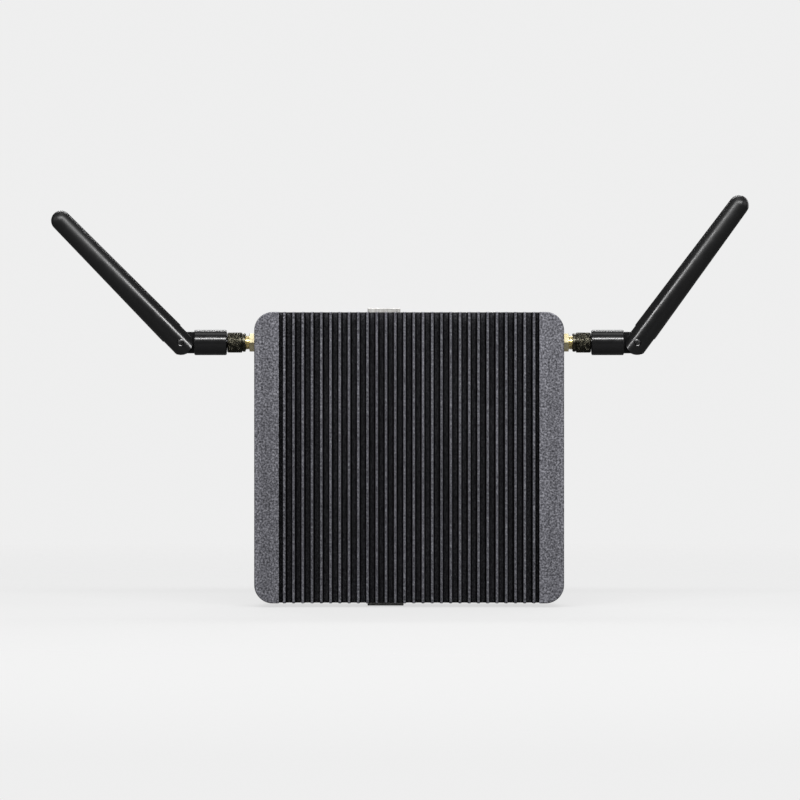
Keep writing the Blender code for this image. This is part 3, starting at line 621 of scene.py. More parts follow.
def lens_finish():
    haze = (0.8, 2)
    stops = [(0.3, (0.5, 0.6, 0.74)), (0.7, (0.62, 0.72, 0.86))]
    clear = {"Transmission_Weight": 0.35, "Coat_Weight": 0.5}
    grained_finish("light_lens", (0.55, 0.65, 0.8), 0.12, 0, haze, stops, (0.08, 0.2, haze), **clear)


def anodised_finish():
    """Bead-blasted and anodised dark grey aluminium, with patches, each fin a little apart, and painted shade down
    into the grooves between the fins.
    """
    finish = Finish("anodised_aluminium", grey(0.1, 0.1), 0.5, 0.88)
    beads = finish.noise(0.8, 4)
    tone = finish.ramped(beads, [(0.3, grey(0.05, 0.14)), (0.5, grey(0.14, 0.13)), (0.7, grey(0.3, 0.1))])
    across = finish.along("X", (1 / (FIN_PITCH * MM), 0, 0))
    fin = finish.calculated("ROUND", finish.calculated("ADD", across, 0.5))
    chance = finish.add("TexWhiteNoise", {})
    chance.noise_dimensions = "1D"
    feed(finish.tree, chance, {"W": fin})
    apart = finish.ranged(chance.outputs["Value"], 0.88, 1.12, 0, 1)
    patch = finish.ranged(finish.noise(30, 3), 0.88, 1.12)
    outside = finish.calculated("MULTIPLY", apart, patch)
    # The colour is multiplied by painted shade that darkens the grooves between the fins
    shade = finish.calculated("MULTIPLY", outside, painted_groove_shade(finish))
    finish.set(Base_Color=finish.scaled(tone, shade), Roughness=finish.ranged(beads, 0.42, 0.6))
    finish.bumped(beads, 0.05, 0.45)


def painted_groove_shade(finish):
    """Painted shade for the fins: 1 on the flanges, 0.8 on the fin tips, dark down the fin sides and a little less
    dark on the groove floors.
    """
    deep = finish.along("Y")
    tip = -COVER_HIGH.z
    floor = tip + CASE_HEIGHT - FIN_FLOOR
    # Painted shade that deepens with the depth into the grooves, lifted a little on their floors
    painted_wall_shade = finish.ranged(deep, 0.8, 0.04, (tip + 0.2) * MM, (tip + 2.2) * MM)
    painted_floor_shade = finish.ranged(deep, 0.0, 0.2, (floor - 0.6) * MM, (floor - 0.2) * MM)
    across = finish.calculated("ABSOLUTE", finish.along("X"))
    fins_end = HALF_WIDTH - FLANGE
    beside = finish.ranged(across, 0, 1, fins_end * MM, (fins_end + 0.1) * MM)
    return finish.calculated("MAXIMUM", finish.calculated("ADD", painted_wall_shade, painted_floor_shade), beside)


def aerial_plastic_finish():
    """Black moulded plastic, glossy round the hinge and satin towards the end of the rod."""
    finish = Finish("aerial_plastic", grey(0.006), 0.2, Specular_IOR_Level=0.42)
    mould = finish.noise(0.3, 2)
    outwards = finish.calculated("ABSOLUTE", finish.along("X"))
    satin = finish.ranged(outwards, 0.0, 0.17, 106 * MM, 138 * MM)
    patches = finish.ranged(finish.noise(4, 3), 0.17, 0.24)
    finish.set(Base_Color=finish.ramped(mould, [(0.3, grey(0.005)), (0.7, grey(0.01, 0.05))]))
    finish.set(Roughness=finish.calculated("ADD", patches, satin))
    finish.bumped(mould, 0.006, 0.2)


def board_finish():
    """Green solder mask over copper tracks, with plated holes."""
    finish = Finish("circuit_board", (0.01, 0.07, 0.035), 0.35, Coat_Weight=0.4)
    tracks = finish.cells(2.2, "DISTANCE_TO_EDGE")
    lines = finish.ramped(tracks, [(0.06, (0.012, 0.1, 0.045)), (0.1, (0.006, 0.045, 0.022))])
    dots = finish.ranged(finish.cells(1.3, "F1"), 3.5, 1.0, 0.1, 0.16)
    finish.set(Base_Color=finish.scaled(lines, dots))
    finish.set(Roughness=finish.ranged(finish.noise(5, 2), 0.28, 0.42))
    finish.bumped(finish.ranged(tracks, 1, 0, 0.06, 0.1), 0.03, 0.6)


def make_finishes():
    anodised_finish()
    coated_finishes()
    metal_finishes()
    lens_finish()
    aerial_plastic_finish()
    board_finish()
    moulded_finish("socket_plastic", 0.012, 0.42)
    moulded_finish("chip_epoxy", 0.02, 0.5, 0.2)
    moulded_finish("foot_rubber", 0.018, 0.8, 0.6)
    moulded_finish("cable_jacket", 0.09, 0.4, 0.8)


# Fasteners: the seat of the head is at height 0, and the head is at the + end


def numbered(name, count):
    return [f"{name}_{number}" for number in range(1, count + 1)]


def cross_recess(size, depth, top):
    """A cutter for a cross recess that narrows towards its floor."""
    floor = cross(size * 0.24, size * 0.09, size * 0.03, 2)
    mouth = cross(size * 0.5, size * 0.13, size * 0.03, 2)
    return body_mesh("recess", [(floor, top - depth), (mouth, top + 0.1)])


def threaded_shank(shank, length, end, pitch):
    """Levels of a pointed and threaded shank, from its tip to the end of its thread."""
    tip = turned([(shank * 0.6, -length), (shank * 0.82, -length + shank * 0.3)], 32)
    return tip + threaded(shank, -length + shank * 0.4, end, pitch, 0.18 * shank)


def pan_screw(shank, length, head, head_height, pitch):
    """A cross-recessed screw with a rounded pan head and a rolled thread."""
    rim = head_height * 0.42
    profile = [(shank * 0.86, 0), (head - 0.2, 0), (head - 0.06, 0.06), (head, 0.2), (head, rim)]
    levels = threaded_shank(shank, length, -0.5, pitch) + turned(profile, 32)
    levels += domed(head, rim, head_height * 0.58, 32, 7)
    recess = cross_recess(head * 1.25, head_height * 0.75, head_height)
    return carved(body_mesh("screw", levels), [recess])


def flat_screw(shank, length, head):
    """A cross-recessed screw with a countersunk head whose face is at height 0."""
    cone = head - shank
    profile = [(shank, -cone), (head, -0.12), (head - 0.04, -0.03), (head - 0.15, 0)]
    levels = threaded_shank(shank, length, -cone - 0.3, 0.5) + turned(profile, 32)
    return carved(body_mesh("screw", levels), [cross_recess(head * 1.2, head * 0.55, 0)])


def flat_screw_hole(centre, shank, head, face, back):
    """A countersunk hole from the face to the back of a plate, with clearance round its screw."""
    inward = copysign(head - shank, back - face)
    edge = copysign(0.1, back - face)
    profile = [(head + GAP + 0.1, face), (head + GAP, face + edge), (shank + GAP, face + inward)]
    return turned(profile + [(shank + GAP, back)], 32, centre)


def place_screws(names, screw, slot, places, body="case", facing=Matrix.Identity(4)):
    """Copies of one screw at the places, each driven to a different angle."""
    for number, (name, place) in enumerate(zip(names, places)):
        copy = screw.copy()
        copy.transform(facing @ Matrix.Rotation(0.4 + 1.1 * number, 4, "Z"))
        add_piece(f"{name}_driven", copy, slot, name, body, place)
    bpy.data.meshes.remove(screw)


# Bracket


def corner_places(reach):
    return [(u * reach[0], v * reach[1]) for u, v in CORNERS]


def stud_places():
    return [(0, STUD_REACH), (STUD_REACH, 0), (0, -STUD_REACH), (-STUD_REACH, 0)]


def make_bracket():
    """A pressed sheet: corner pads against the wall, and a raised cross with soft drawn slopes."""
    bm = bmesh.new()
    half = BRACKET_HIGH.x
    outer = ring(bm, filleted(rectangle(-half, -half, half, half), 3, 6), 0, "Z")
    steps = 12
    slope = []
    for step in range(steps + 1):
        part = step / steps
        rise = PLATFORM_RISE * part * part * (3 - 2 * part)
        inset = PLATFORM_SLOPE * part
        slope.append((cross(PLATFORM_FOOT - inset, ARM_FOOT - inset, 4, 8), rise))
    slope = climb(bm, slope, "Z")
    screws = corner_places((VESA_LARGE, VESA_LARGE)) + corner_places((VESA_SMALL, VESA_SMALL))
    pads = [ring(bm, circle(VESA_HOLE, 28, place), 0, "Z") for place in screws]
    openings = [circle(BRACKET_BORE, 96)] + [keyhole(place) for place in stud_places()]
    fill(bm, [outer, slope[0]] + pads)
    fill(bm, [slope[-1]] + [ring(bm, opening, PLATFORM_RISE, "Z") for opening in openings])
    bmesh.ops.recalc_face_normals(bm, faces=bm.faces)
    if sum(face.normal.z for face in bm.faces) < 0:
        bmesh.ops.reverse_faces(bm, faces=bm.faces)

    def set_up(holder):
        sheet = holder.modifiers.new("sheet", "SOLIDIFY")
        sheet.thickness = SHEET * MM
        sheet.offset = 1
        sheet.use_even_offset = True
        rim = holder.modifiers.new("rim", "BEVEL")
        rim.width = 0.25 * MM
        rim.segments = 2
        rim.angle_limit = radians(50)

    mesh = evaluated(to_mesh("sheet", bm), set_up)
    add_piece("vesa_bracket_sheet", mesh, "painted_steel", "vesa_bracket", "bracket", (0, 0, 0))
    screw = pan_screw(shank=1.9, length=9.5, head=3.6, head_height=2.6, pitch=0.7)
    places = [(*place, SHEET + GAP) for place in corner_places((VESA_LARGE, VESA_LARGE))]
    place_screws(numbered("vesa_screw", 4), screw, "zinc_steel", places, "bracket")


# Case


def case_plan():
    return filleted(rectangle(-HALF_WIDTH, -HALF_LENGTH, HALF_WIDTH, HALF_LENGTH), CASE_CORNER, 12)


def fin_edges(index, width):
    """Left and right edge of a fin of this width. Index -1 and FIN_COUNT are the flanges."""
    inner = HALF_WIDTH - FLANGE
    if index < 0:
        return -inner, -inner
    if index == FIN_COUNT:
        return inner, inner
    middle = (index - (FIN_COUNT - 1) / 2) * FIN_PITCH
    return middle - width / 2, middle + width / 2


def valley(index):
    """The groove to the right of fin index: filleted at its floor and rounded over at the fin tips."""
    root, tip, flare = 0.4, 0.25, 0.28
    crest, high = CASE_HEIGHT + 0.02, CASE_HEIGHT + 1
    left_root, right_root = fin_edges(index, FIN_ROOT)[1], fin_edges(index + 1, FIN_ROOT)[0]
    left_tip, right_tip = fin_edges(index, FIN_TIP)[1], fin_edges(index + 1, FIN_TIP)[0]
    left_lip, right_lip = left_tip - flare, right_tip + flare
    corners = [(left_root, FIN_FLOOR), (right_root, FIN_FLOOR), (right_tip, crest), (right_lip, crest)]
    corners += [(right_lip, high), (left_lip, high), (left_lip, crest), (left_tip, crest)]
    return filleted(corners, [root, root, tip, 0, 0, 0, 0, tip], 4)


def groove_cutter(index):
    """The cutter for one groove, wider at both ends so that the cut edges of the fins are chamfered."""
    chamfer = 0.2
    outline = valley(index)
    wide = offset(outline, chamfer)
    half = [(outline, HALF_LENGTH - chamfer), (wide, HALF_LENGTH), (wide, HALF_LENGTH + 1)]
    return body_mesh("groove", [(plan, -y) for plan, y in reversed(half)] + half, "Y")


def cavity_outline():
    """The inside of the cover seen from behind: a post in each corner and a recess for each panel."""
    wall_x = HALF_WIDTH - WALL
    panel_x = PANEL_HALF_WIDTH + GAP
    panel_y = HALF_LENGTH - PANEL - GAP
    side = [(wall_x, POST_FACE), (POST_INSIDE, POST_FACE), (POST_INSIDE, panel_y)]
    side += [(panel_x, panel_y), (panel_x, HALF_LENGTH + 1)]
    half = [(u, -v) for u, v in reversed(side)] + side
    return half + [(-u, -v) for u, v in half]


def make_cover():
    """The finned cover, cut from one block."""
    mesh = body_mesh("heatsink_cover", eased(case_plan(), COVER_START, CASE_HEIGHT, 0.4))
    mesh = carved(mesh, [bar(cavity_outline(), -1, CEILING)])
    mesh = carved(mesh, [groove_cutter(index) for index in range(-1, FIN_COUNT)])
    drills = []
    for lid_screw, (u, v) in zip(corner_places(LID_SCREW), CORNERS):
        drills.append(bar(circle(LID_DRILL, 24, lid_screw), 0, 9))
        panel_screw = (u * PANEL_SCREWS_X[1], PANEL_SCREW_HEIGHT)
        drills.append(bar(circle(PANEL_DRILL, 24, panel_screw), POST_FACE - 1, HALF_LENGTH + 1, "Y", v))
    aerial = middle_of("antenna_jack_right")
    bore = JACK_RADIUS + GAP
    rim = [(bore, HALF_WIDTH - WALL - 1), (bore, HALF_WIDTH - 0.25)]
    rim += [(bore + 0.25, HALF_WIDTH), (bore + 0.25, HALF_WIDTH + 1)]
    levels = turned(rim, 48, (aerial.y, aerial.z - BASE_LOW.z))
    drills += [body_mesh("drill", levels, "X", side) for side in SIDES.values()]
    add_piece("cover_shell", carved(mesh, drills), "anodised_aluminium", "heatsink_cover")


def make_base_plate():
    """The back of the case, with a standoff for each corner of the board, and its screws."""
    top = BOARD_LOW - GAP
    post = [(STANDOFF, LID), (STANDOFF, top - 0.2), (STANDOFF - 0.2, top), (1.5, top), (1.5, LID)]
    standoffs = [turned(post, 28, place) for place in corner_places(BOARD_SCREW)]
    screws = corner_places(LID_SCREW)
    holes = [flat_screw_hole(place, LID_SHANK, LID_HEAD, 0, LID)[::-1] for place in screws]
    holes += [eased(circle(STUD_SHANK, 28, place), LID, 0, 0.12, hole=True) for place in stud_places()]
    levels = eased(case_plan(), 0, LID, 0.25)
    mesh = body_mesh("base_plate", levels, features=standoffs, holes=holes)
    add_piece("base_plate_sheet", mesh, "black_panel", "base_plate")
    over = Matrix.Rotation(pi, 4, "X")
    places = [(*place, BASE_LOW.z) for place in screws]
    screw = flat_screw(LID_SHANK, LID_SCREW_LENGTH, LID_HEAD)
    place_screws(numbered("base_screw", 4), screw, "black_steel", places, facing=over)


def make_studs():
    """Shouldered studs with rounded heads, a machined groove under them and a socket for a key."""
    for name, centre in zip(numbered("hanger_stud", 4), stud_places()):
        low, high = (corner.z for corner in lying_box(name))
        head, plate = low + 1.6, BASE_LOW.z - GAP
        profile = [(STUD_HEAD - 0.3, low), (STUD_HEAD - 0.1, low + 0.1), (STUD_HEAD, low + 0.35)]
        profile += [(STUD_HEAD, head - 0.15), (STUD_HEAD - 0.15, head), (STUD_SHANK - 0.1, head)]
        profile += [(STUD_SHANK - 0.1, head + 0.15), (STUD_SHANK, head + 0.25)]
        profile += [(STUD_SHANK, plate), (1.5, plate), (1.5, high - 0.2), (1.35, high)]
        mesh = carved(body_mesh(name, turned(profile, 36)), [bar(circle(1.15, 6), low - 0.2, low + 0.9)])
        add_piece(f"{name}_turned", mesh, "zinc_steel", name, place=(*centre, 0))


def make_feet():
    """Stick-on rubber feet: a moulded rim round a slightly domed face."""
    for name in numbered("foot", 4):
        low, high = lying_box(name)
        radius, top = (high.x - low.x) / 2, high.z - low.z
        profile = [(radius - 0.1, 0), (radius, 0.1), (radius, top * 0.55)]
        profile += [(radius - 0.15, top * 0.75), (radius - 0.45, top * 0.9)]
        profile += [(radius - 0.9, top - 0.02), (radius - 1.3, top)]
        profile += [(radius - 1.5, top - 0.2), (1.4, top - 0.12), (0.5, top - 0.1)]
        mesh = body_mesh(name, turned(profile, 48), side=-1)
        middle = (low + high) / 2
        add_piece(f"{name}_pad", mesh, "foot_rubber", name, place=(middle.x, middle.y, high.z))


# Sockets: outlines in X and Z


def socket_middle(node):
    return middle_of(node).x


def mouth_of(node, side=1):
    """The middle of a socket, and how far its mouth is from the middle of the case."""
    low, high = lying_box(node)
    return socket_middle(node), high.y if side > 0 else -low.y


def hdmi_outline():
    half, low, high = 7.15, SEAT, SEAT + 5.4
    chamfer = 2
    corners = [(-half + chamfer, low), (half - chamfer, low), (half, low + chamfer), (half, high)]
    corners += [(-half, high), (-half, low + chamfer)]
    middle = socket_middle("hdmi_port")
    return filleted([(middle + u, v) for u, v in corners], 0.45, 3)


def lan_outline(name):
    centre = (socket_middle(name), SEAT + LAN_HEIGHT / 2)
    return rounded_box(LAN_WIDTH, LAN_HEIGHT, 0.4, centre, 3)


def usb_outline(name):
    centre = (socket_middle(name), SEAT + USB_HEIGHT / 2)
    return rounded_box(USB_WIDTH[name], USB_HEIGHT, 0.5, centre, 3)


def make_panel(name, side, openings, round_holes):
    """A flat end plate between the cover's posts. Side is 1 for the rear one."""
    face, back = HALF_LENGTH, HALF_LENGTH - PANEL
    plate = rectangle(-PANEL_HALF_WIDTH, PANEL_BOTTOM, PANEL_HALF_WIDTH, PANEL_TOP)
    levels = eased(filleted(plate, 0.4, 3), back, face, 0.2)
    holes = [eased(offset(outline, GAP), face, back, 0.15, hole=True) for outline in openings]
    for node, height, radius in round_holes:
        hole = circle(radius, 48, (socket_middle(node), height))
        holes.append(eased(hole, face, back, 0.2, hole=True))
    for x in PANEL_SCREWS_X:
        centre = (x, PANEL_SCREW_HEIGHT)
        holes.append(flat_screw_hole(centre, PANEL_SHANK, PANEL_HEAD, face, back))
    mesh = body_mesh(name, levels, "Y", side, holes=holes)
    add_piece(f"{name}_plate", mesh, "black_panel", name)


def make_panels():
    rear = [hdmi_outline(), usb_outline("usb_stack_rear")]
    rear += [lan_outline(name) for name in numbered("lan_port", 2)]
    make_panel("rear_panel", 1, rear, [("dc_jack", CONTROL_HEIGHT + 1, BARREL + 0.4)])
    controls = [("power_button", CONTROL_HEIGHT, BUTTON_HOLE)]
    controls += [("status_light", CONTROL_HEIGHT, LIGHT_HOLE)]
    make_panel("front_panel", -1, [usb_outline("usb_stack_front")], controls)
    for name, side in (("rear_panel", 1), ("front_panel", -1)):
        height = BASE_LOW.z + PANEL_SCREW_HEIGHT
        places = [(x, side * HALF_LENGTH, height) for x in PANEL_SCREWS_X]
        facing = Matrix.Rotation(-side * pi / 2, 4, "X")
        screw = flat_screw(PANEL_SHANK, PANEL_SCREW_LENGTH, PANEL_HEAD)
        place_screws(numbered(f"{name}_screw", 2), screw, "black_steel", places, facing=facing)


def contact_strips(name, middle, height, pitch, count, size, front, side=1):
    """A row of gold contacts along a socket's tongue. Size is (width, thickness, length)."""
    width, thickness, length = size
    strips = []
    for number in range(count):
        u = middle + (number - (count - 1) / 2) * pitch
        outline = rounded_box(width, thickness, thickness * 0.25, (u, height), 2)
        strips.append(bar(outline, front - length, front, "Y", side))
    add_piece(name, gathered(strips), "gold_plate")


def make_hdmi():
    middle, front = mouth_of("hdmi_port")
    outer = hdmi_outline()
    inner = offset(outer, -0.5)
    cavity = [(offset(inner, 0.12), front), (inner, front - 0.2), (inner, front - HDMI_DEPTH)]
    shell = body_mesh("hdmi", eased(outer, front - 11, front, 0.15), "Y", features=[cavity])
    add_piece("hdmi_shell", shell, "nickel_shell", "hdmi_port")
    height = SEAT + 2.9
    tongue = rounded_box(10.6, 1.2, 0.2, (middle, height), 2)
    levels = eased(tongue, front - HDMI_DEPTH, front - 1, 0.2, (False, True))
    add_piece("hdmi_tongue", body_mesh("tongue", levels, "Y"), "socket_plastic")
    size = (0.5, 0.12, 5.5)
    for label, lift in (("low", -0.62), ("high", 0.62)):
        contact_strips(f"hdmi_contacts_{label}", middle, height + lift, 1, 10, size, front - 1.3)


def make_lan_port(name):
    """A screened network socket: shell, plastic liner, eight spring contacts and two light windows."""
    middle, front = mouth_of(name)
    plug, latch, clip = 5.9, 3.1, 1.7
    low, shoulder = SEAT + 1.8, SEAT + 9.2
    opening = [(-plug, low), (plug, low), (plug, shoulder), (latch, shoulder), (latch, shoulder + clip)]
    opening += [(-latch, shoulder + clip), (-latch, shoulder), (-plug, shoulder)]
    opening = filleted([(middle + u, v) for u, v in opening], 0.25, 2)
    windows = [rounded_box(2.2, 1.5, 0.2, (middle + u * 5.4, SEAT + 11.4), 2) for u in (-1, 1)]
    cavities = [[(offset(opening, 0.1), front), (opening, front - 0.15), (opening, front - LAN_DEPTH)]]
    cavities += [[(window, front), (window, front - 0.4)] for window in windows]
    shell = body_mesh(name, eased(lan_outline(name), front - 21, front, 0.2), "Y", features=cavities)
    add_piece(f"{name}_shell", shell, "nickel_shell", name)
    liner = offset(opening, -0.02)
    inside = offset(liner, -0.35)
    start, floor = front - 0.6, front - LAN_DEPTH + 0.1
    sunk = [(inside, start), (inside, floor + 0.4)]
    mesh = body_mesh("liner", [(liner, floor), (liner, start)], "Y", features=[sunk])
    add_piece(f"{name}_liner", mesh, "socket_plastic")
    springs = []
    for number in range(8):
        u = middle + (number - 3.5) * 1.02
        profile = [(front - 3, low + 0.5), (front - 2.9, low + 0.8)]
        profile += [(front - 10, low + 3.4), (front - 10.1, low + 3.1)]
        springs.append(bar(profile, u - 0.2, u + 0.2, "X"))
    add_piece(f"{name}_contacts", gathered(springs), "gold_plate")
    lights = []
    for window in windows:
        levels = eased(offset(window, -0.03), front - 0.38, front - 0.05, 0.1)
        lights.append(body_mesh("light", levels, "Y"))
    add_piece(f"{name}_lights", gathered(lights), "light_lens")


def make_usb_stack(name, side):
    """Two sockets in one folded shell, each with a plastic tongue and contacts."""
    middle, front = mouth_of(name, side)
    cavities = []
    tongues = []
    for number, low in enumerate((SEAT + 1.3, SEAT + 8.8), 1):
        inner = rounded_box(12.6, 5.1, 0.4, (middle, low + 2.55), 3)
        cavities.append([(offset(inner, 0.25), front), (inner, front - 0.4), (inner, front - USB_DEPTH)])
        tongue = rounded_box(11, 1.8, 0.25, (middle, low + 3.5), 2)
        levels = eased(tongue, front - USB_DEPTH, front - 1, 0.25, (False, True))
        tongues.append(body_mesh("tongue", levels, "Y", side))
        size = (1.1, 0.16, 7)
        contact_strips(f"{name}_contacts_{number}", middle, low + 2.55, 2.4, 4, size, front - 1.4, side)
    levels = eased(usb_outline(name), front - 17, front, 0.2)
    shell = body_mesh(name, levels, "Y", side, features=cavities)
    add_piece(f"{name}_shell", shell, "nickel_shell", name)
    add_piece(f"{name}_tongues", gathered(tongues), "socket_plastic")


def make_dc_jack():
    """A barrel socket with a plated centre pin."""
    middle, front = mouth_of("dc_jack")
    centre = (middle, CONTROL_HEIGHT + 1)
    block = rounded_box(9, 9, 0.5, centre, 3)
    face = HALF_LENGTH
    shoulder = face - PANEL - 2 * GAP
    barrel = circle(BARREL, 48, centre)
    levels = [(block, face - 14), (block, shoulder), (barrel, shoulder)]
    levels += eased(barrel, shoulder + 0.1, front, 0.25, (False, True))
    bore = turned([(3.35, front), (3.1, front - 0.3), (3.1, face - 9)], 48, centre)
    mesh = body_mesh("dc_jack", levels, "Y", features=[bore])
    add_piece("dc_jack_barrel", mesh, "socket_plastic", "dc_jack")
    pin = turned([(1.2, face - 9), (1.2, face - 1.4), (1.05, face - 1.1)], 24, centre)
    pin += domed(1.05, face - 1.1, 0.12, 24, 3, centre)
    add_piece("dc_jack_pin", body_mesh("pin", pin, "Y"), "nickel_shell")


def make_controls():
    """The power button, faced on a lathe with a shallow dish, and the status light's domed lens."""
    flange = PANEL + GAP
    profile = [(2, 6), (2, flange + 1), (7, flange + 1), (7, flange), (5.6, flange), (5.6, 0.05)]
    profile += [(5.5, -0.08), (5.3, -0.17), (5.1, -0.2), (4.9, -0.18)]
    for step in range(12):
        reach = 4.8 - 0.4 * step
        dish = 0.25 * (1 - (reach / 4.8) ** 2)
        groove = 0.02 * (step % 2)
        profile.append((reach, dish - 0.15 + groove))
    sunk = [(radius, height - HALF_LENGTH) for radius, height in profile]
    levels = turned(sunk, 64, (socket_middle("power_button"), CONTROL_HEIGHT))
    mesh = body_mesh("power_button", levels, "Y")
    add_piece("power_button_cap", mesh, "anodised_aluminium", "power_button", "button")
    lens, flange = 1.3, HALF_LENGTH - PANEL - GAP
    pipe = [(lens, HALF_LENGTH - 5), (lens, flange - 1), (2.1, flange - 1), (2.1, flange)]
    pipe += [(lens, flange), (lens, HALF_LENGTH - 0.1)]
    centre = (socket_middle("status_light"), CONTROL_HEIGHT)
    levels = turned(pipe, 32, centre) + domed(lens, HALF_LENGTH - 0.1, 0.2, 32, 5, centre)
    mesh = body_mesh("status_light", levels, "Y", -1)
    add_piece("status_light_pipe", mesh, "light_lens", "status_light")


# Aerials: heights run outwards along X from the middle of the case


def outward_ends(node, side):
    """How far from the middle of the case a node starts and ends."""
    low, high = lying_box(node)
    return (low.x, high.x) if side > 0 else (-high.x, -low.x)


def hexagon_nut(radius, low, high, bore, side):
    """A hexagon nut with its corners chamfered on both faces."""
    hole = eased(circle(bore, 48), high, low, 0.25, hole=True)
    hexagon = circle(radius, 6)
    prism = body_mesh("nut", [(hexagon, low), (hexagon, high)], "X", side, holes=[hole])
    inner, outer, chamfer = radius * 0.87, radius * 1.02, 0.35
    cone = [(inner, low - 0.01), (outer, low + chamfer), (outer, high - chamfer), (inner, high + 0.01)]
    return carved(prism, [body_mesh("cone", turned(cone, 64), "X", side)], "INTERSECT")


def make_jack(name, side):
    """A coaxial jack through the side wall, with its nut outside."""
    node, nut = f"antenna_jack_{name}", f"jack_nut_{name}"
    middle = middle_of(node)
    place = (0, middle.y, middle.z)
    end = outward_ends(node, side)[1]
    hexagon = circle(JACK_HEXAGON, 6)
    shoulder = HALF_WIDTH - WALL - GAP
    levels = turned([(1.7, 56.7), (1.7, 60.6)], 24) + [(hexagon, 60.6), (hexagon, shoulder)]
    levels += turned([(2.8, shoulder)], 32)
    levels += threaded(JACK_RADIUS, shoulder + 0.1, end - 0.25, pitch=0.7, depth=0.34)
    levels += turned([(2.6, end)], 32)
    bore, core = 2.3, 0.9
    cavity = turned([(bore, end), (bore, end - 4), (core, end - 4), (core, end - 1)], 24)
    mesh = body_mesh("jack", levels, "X", side, features=[cavity])
    add_piece(f"jack_body_{name}", mesh, "gold_plate", node, place=place)
    mesh = hexagon_nut(JACK_HEXAGON, *outward_ends(nut, side), JACK_RADIUS + GAP, side)
    add_piece(f"{nut}_hexagon", mesh, "gold_plate", nut, place=place)


def make_coupling_nut(name, side):
    """The loose knurled nut that clamps the aerial to its jack, with a plain ring at its mouth."""
    node = f"coupling_nut_{name}"
    sides, start, end, lip = 168, -4, 4, 2.6
    mouth = [(3.75, start), (4.0, start + 0.25), (4.0, start + 1.1), (3.8, start + 1.3)]
    mouth += [(3.8, start + 1.5), (4.2, start + 1.6)]
    outside = turned(mouth, sides)
    outside += knurled(COUPLING_RADIUS, start + 1.8, end - 0.5, 0.32, teeth=28, sides=sides)
    outside += turned([(4.3, end - 0.3), (4.05, end)], sides)
    hole = turned([(2.7, end), (2.7, lip), (3.45, lip), (3.45, start + 0.3), (3.6, start)], 32)
    mesh = body_mesh(node, outside, "X", side, holes=[hole])
    add_piece(f"{node}_knurled", mesh, "dark_nickel", node, f"{name}_nut", middle_of(node))


def tilt_of(name):
    return next(joint for joint in frame["joints"] if joint["name"] == f"{name}_tilt")


def pivot_of(name):
    x, y, z = tilt_of(name)["pos_m"]
    return Vector((x, z, -y)) / MM


def make_aerial_base(name, side):
    """The swivelling base: a neck inside the coupling nut, a sleeve, and a tongue for the hinge pin."""
    node, pin_node, body = f"antenna_base_{name}", f"hinge_pin_{name}", f"{name}_base"
    pivot = pivot_of(name)
    collar = outward_ends(node, side)[0] - abs(pivot.x)
    start, end = collar + 3.3, -KNUCKLE - 2 * GAP
    profile = [(3.1, collar), (3.1, collar + 1.1), (2.4, collar + 1.1), (2.4, start)]
    profile += [(SLEEVE_RADIUS - 0.5, start), (SLEEVE_RADIUS - 0.15, start + 0.15)]
    profile += [(SLEEVE_RADIUS, start + 0.5), (SLEEVE_RADIUS, end - 0.5)]
    profile += [(SLEEVE_RADIUS - 0.08, end - 0.25), (SLEEVE_RADIUS - 0.25, end - 0.08)]
    profile += [(SLEEVE_RADIUS - 0.5, end)]
    mesh = body_mesh("base", turned(profile, 64), "X", side)
    tongue = [(side * u, v) for u, v in round_ended(4.7, end - 1)]
    mesh = carved(mesh, [body_mesh("tongue", eased(tongue, -TONGUE, TONGUE, 0.2))], "UNION")
    mesh = carved(mesh, [bar(circle(PIN_RADIUS + GAP, 32), -5, 5)])
    add_piece(f"aerial_base_{name}", mesh, "aerial_plastic", node, body, pivot)
    low, high = lying_box(pin_node)
    crown = 0.15
    rim = (high.z - low.z) / 2 - crown
    half = turned([(PIN_RADIUS, rim)], 28) + domed(PIN_RADIUS, rim, crown, 28, 5)
    pin = body_mesh(pin_node, [(outline, -height) for outline, height in reversed(half)] + half)
    add_piece(f"{pin_node}_riveted", pin, "black_steel", pin_node, body, pivot)


def make_rod(name, side):
    """The folding rod, modelled along +X from its pivot, with a slotted knuckle round the tongue."""
    angle = -radians(tilt_of(name)["range_deg"][0])
    turn = angle if side > 0 else pi - angle
    steps = 10
    bends = [pi / 2 * step / steps for step in range(steps)]
    profile = [(KNUCKLE, -KNUCKLE - 1), (KNUCKLE, KNUCKLE + 2)]
    profile += [(TIP_RADIUS * cos(b), ROD_LENGTH - TIP_RADIUS * (1 - sin(b))) for b in bends]
    mesh = body_mesh("rod", turned(profile, 64), "X")
    end = [(-u, v) for u, v in round_ended(KNUCKLE + GAP, -ROD_LENGTH - 1, -GAP)]
    mesh = carved(mesh, [bar(end, -6, 6)], "INTERSECT")
    half = TONGUE + GAP
    mesh = carved(mesh, [bar(rectangle(-7, -7, KNUCKLE + GAP, 7), -half, half)])
    mesh = softened(carved(mesh, [bar(circle(PIN_RADIUS + GAP, 32), -7, 7)]), 0.2)
    node = f"antenna_rod_{name}"
    add_piece(f"aerial_rod_{name}", mesh, "aerial_plastic", node, f"{name}_rod", pivot_of(name), turn)


def finish_kept_nodes():
    """The pieces inside the case keep their CAD meshes and take the finish of their slot."""
    for part in frame["record"]["subparts"]:
        node = frame["nodes"][part["node"]]
        if not node.hide_render:
            node.data.materials.clear()
            node.data.materials.append(bpy.data.materials[part["material_slot"]])


# Studio


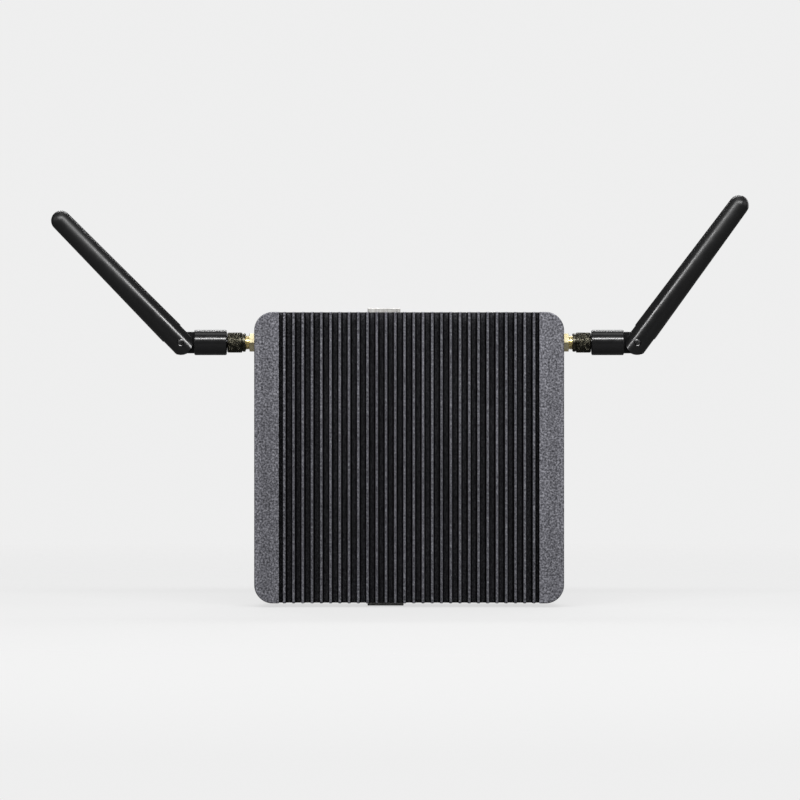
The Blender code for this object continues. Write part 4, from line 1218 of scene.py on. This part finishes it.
def make_floor():
    """A pale floor just under the part, which fades into the surroundings and hardly lights the part."""
    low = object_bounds()[0]
    bm = bmesh.new()
    bmesh.ops.create_grid(bm, x_segments=8, y_segments=8, size=2.0)
    floor = add_object("floor", to_mesh("floor", bm))
    floor.location = (0, 0, low[2] - 0.3 * MM)
    finish = Finish("pale_floor", grey(0.13), 0.9, Specular_IOR_Level=0.1)
    seen = finish.add("LightPath", {}).outputs["Is Camera Ray"]
    glow = finish.ranged(seen, 0.0, 0.66, 0, 1)
    fade = finish.add("TexGradient", {"Vector": finish.place((1.1, 1.1, 1.1))})
    fade.gradient_type = "SPHERICAL"
    alpha = finish.ranged(fade.outputs["Fac"], 0, 1, 0.05, 0.8)
    finish.set(Emission_Color=(1, 1, 1, 1), Emission_Strength=glow, Alpha=alpha)
    floor.data.materials.append(finish.material)
    floor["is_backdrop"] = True


def make_world():
    """Pale to look at, and dim as a light, so that black and bare metal keep their contrast."""
    world = bpy.data.worlds.new("studio")
    world.use_nodes = True
    bpy.context.scene.world = world
    tree = world.node_tree
    seen = tree.nodes.new("ShaderNodeLightPath").outputs["Is Camera Ray"]
    strength = tree.nodes.new("ShaderNodeMapRange")
    feed(tree, strength, {"Value": seen, "To Min": 0.06, "To Max": 0.86})
    background = {"Color": (1, 1, 1, 1), "Strength": strength.outputs["Result"]}
    feed(tree, tree.nodes["Background"], background)


def add_softbox(name, azimuth, elevation, distance, size, energy):
    """A soft rectangular light that looks at the part. Azimuth 0 is in front, and 90 is to the right."""
    turn, rise = radians(azimuth), radians(elevation)
    way = Vector((sin(turn) * cos(rise), -cos(turn) * cos(rise), sin(rise)))
    light = bpy.data.lights.new(name, "AREA")
    light.shape = "RECTANGLE"
    light.size, light.size_y = size
    light.energy = energy
    lamp = add_object(name, light)
    lamp.location = way * distance
    lamp.rotation_euler = way.to_track_quat("Z", "Y").to_euler()


def make_lights():
    wide, low, tall = (2.0, 0.2), (1.4, 0.2), (0.7, 0.9)
    add_softbox("key", 0, 38, 1.6, wide, 45)
    add_softbox("left_fill", -75, 20, 1.8, tall, 3)
    add_softbox("right_fill", 75, 20, 1.8, tall, 3)
    add_softbox("back_key", 180, 45, 1.8, low, 13)
    add_softbox("back_fill", 138, 12, 1.8, tall, 6)
    add_softbox("top", 0, 88, 1.7, (1.0, 0.8), 3)


def make_camera():
    """Level and straight on to the fins, with the part across most of the picture's width."""
    low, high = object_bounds()
    middle = (Vector(low) + Vector(high)) / 2
    distance, filled = 2.0, 0.87
    data = bpy.data.cameras.new("camera")
    data.sensor_width = 36
    data.lens = data.sensor_width * distance * filled / (high[0] - low[0])
    camera = add_object("camera", data)
    camera.location = middle - Vector((0, distance, 0))
    camera.rotation_euler = (pi / 2, 0, 0)
    bpy.context.scene.camera = camera
    bpy.context.scene.view_settings.view_transform = "Standard"


def main():
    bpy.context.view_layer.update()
    make_finishes()
    make_bracket()
    make_cover()
    make_base_plate()
    make_studs()
    make_feet()
    make_panels()
    make_dc_jack()
    make_hdmi()
    for name in numbered("lan_port", 2):
        make_lan_port(name)
    make_usb_stack("usb_stack_rear", 1)
    make_usb_stack("usb_stack_front", -1)
    make_controls()
    for name, side in SIDES.items():
        make_jack(name, side)
        make_coupling_nut(name, side)
        make_aerial_base(name, side)
        make_rod(name, side)
    finish_kept_nodes()
    make_floor()
    make_world()
    make_lights()
    make_camera()


main()
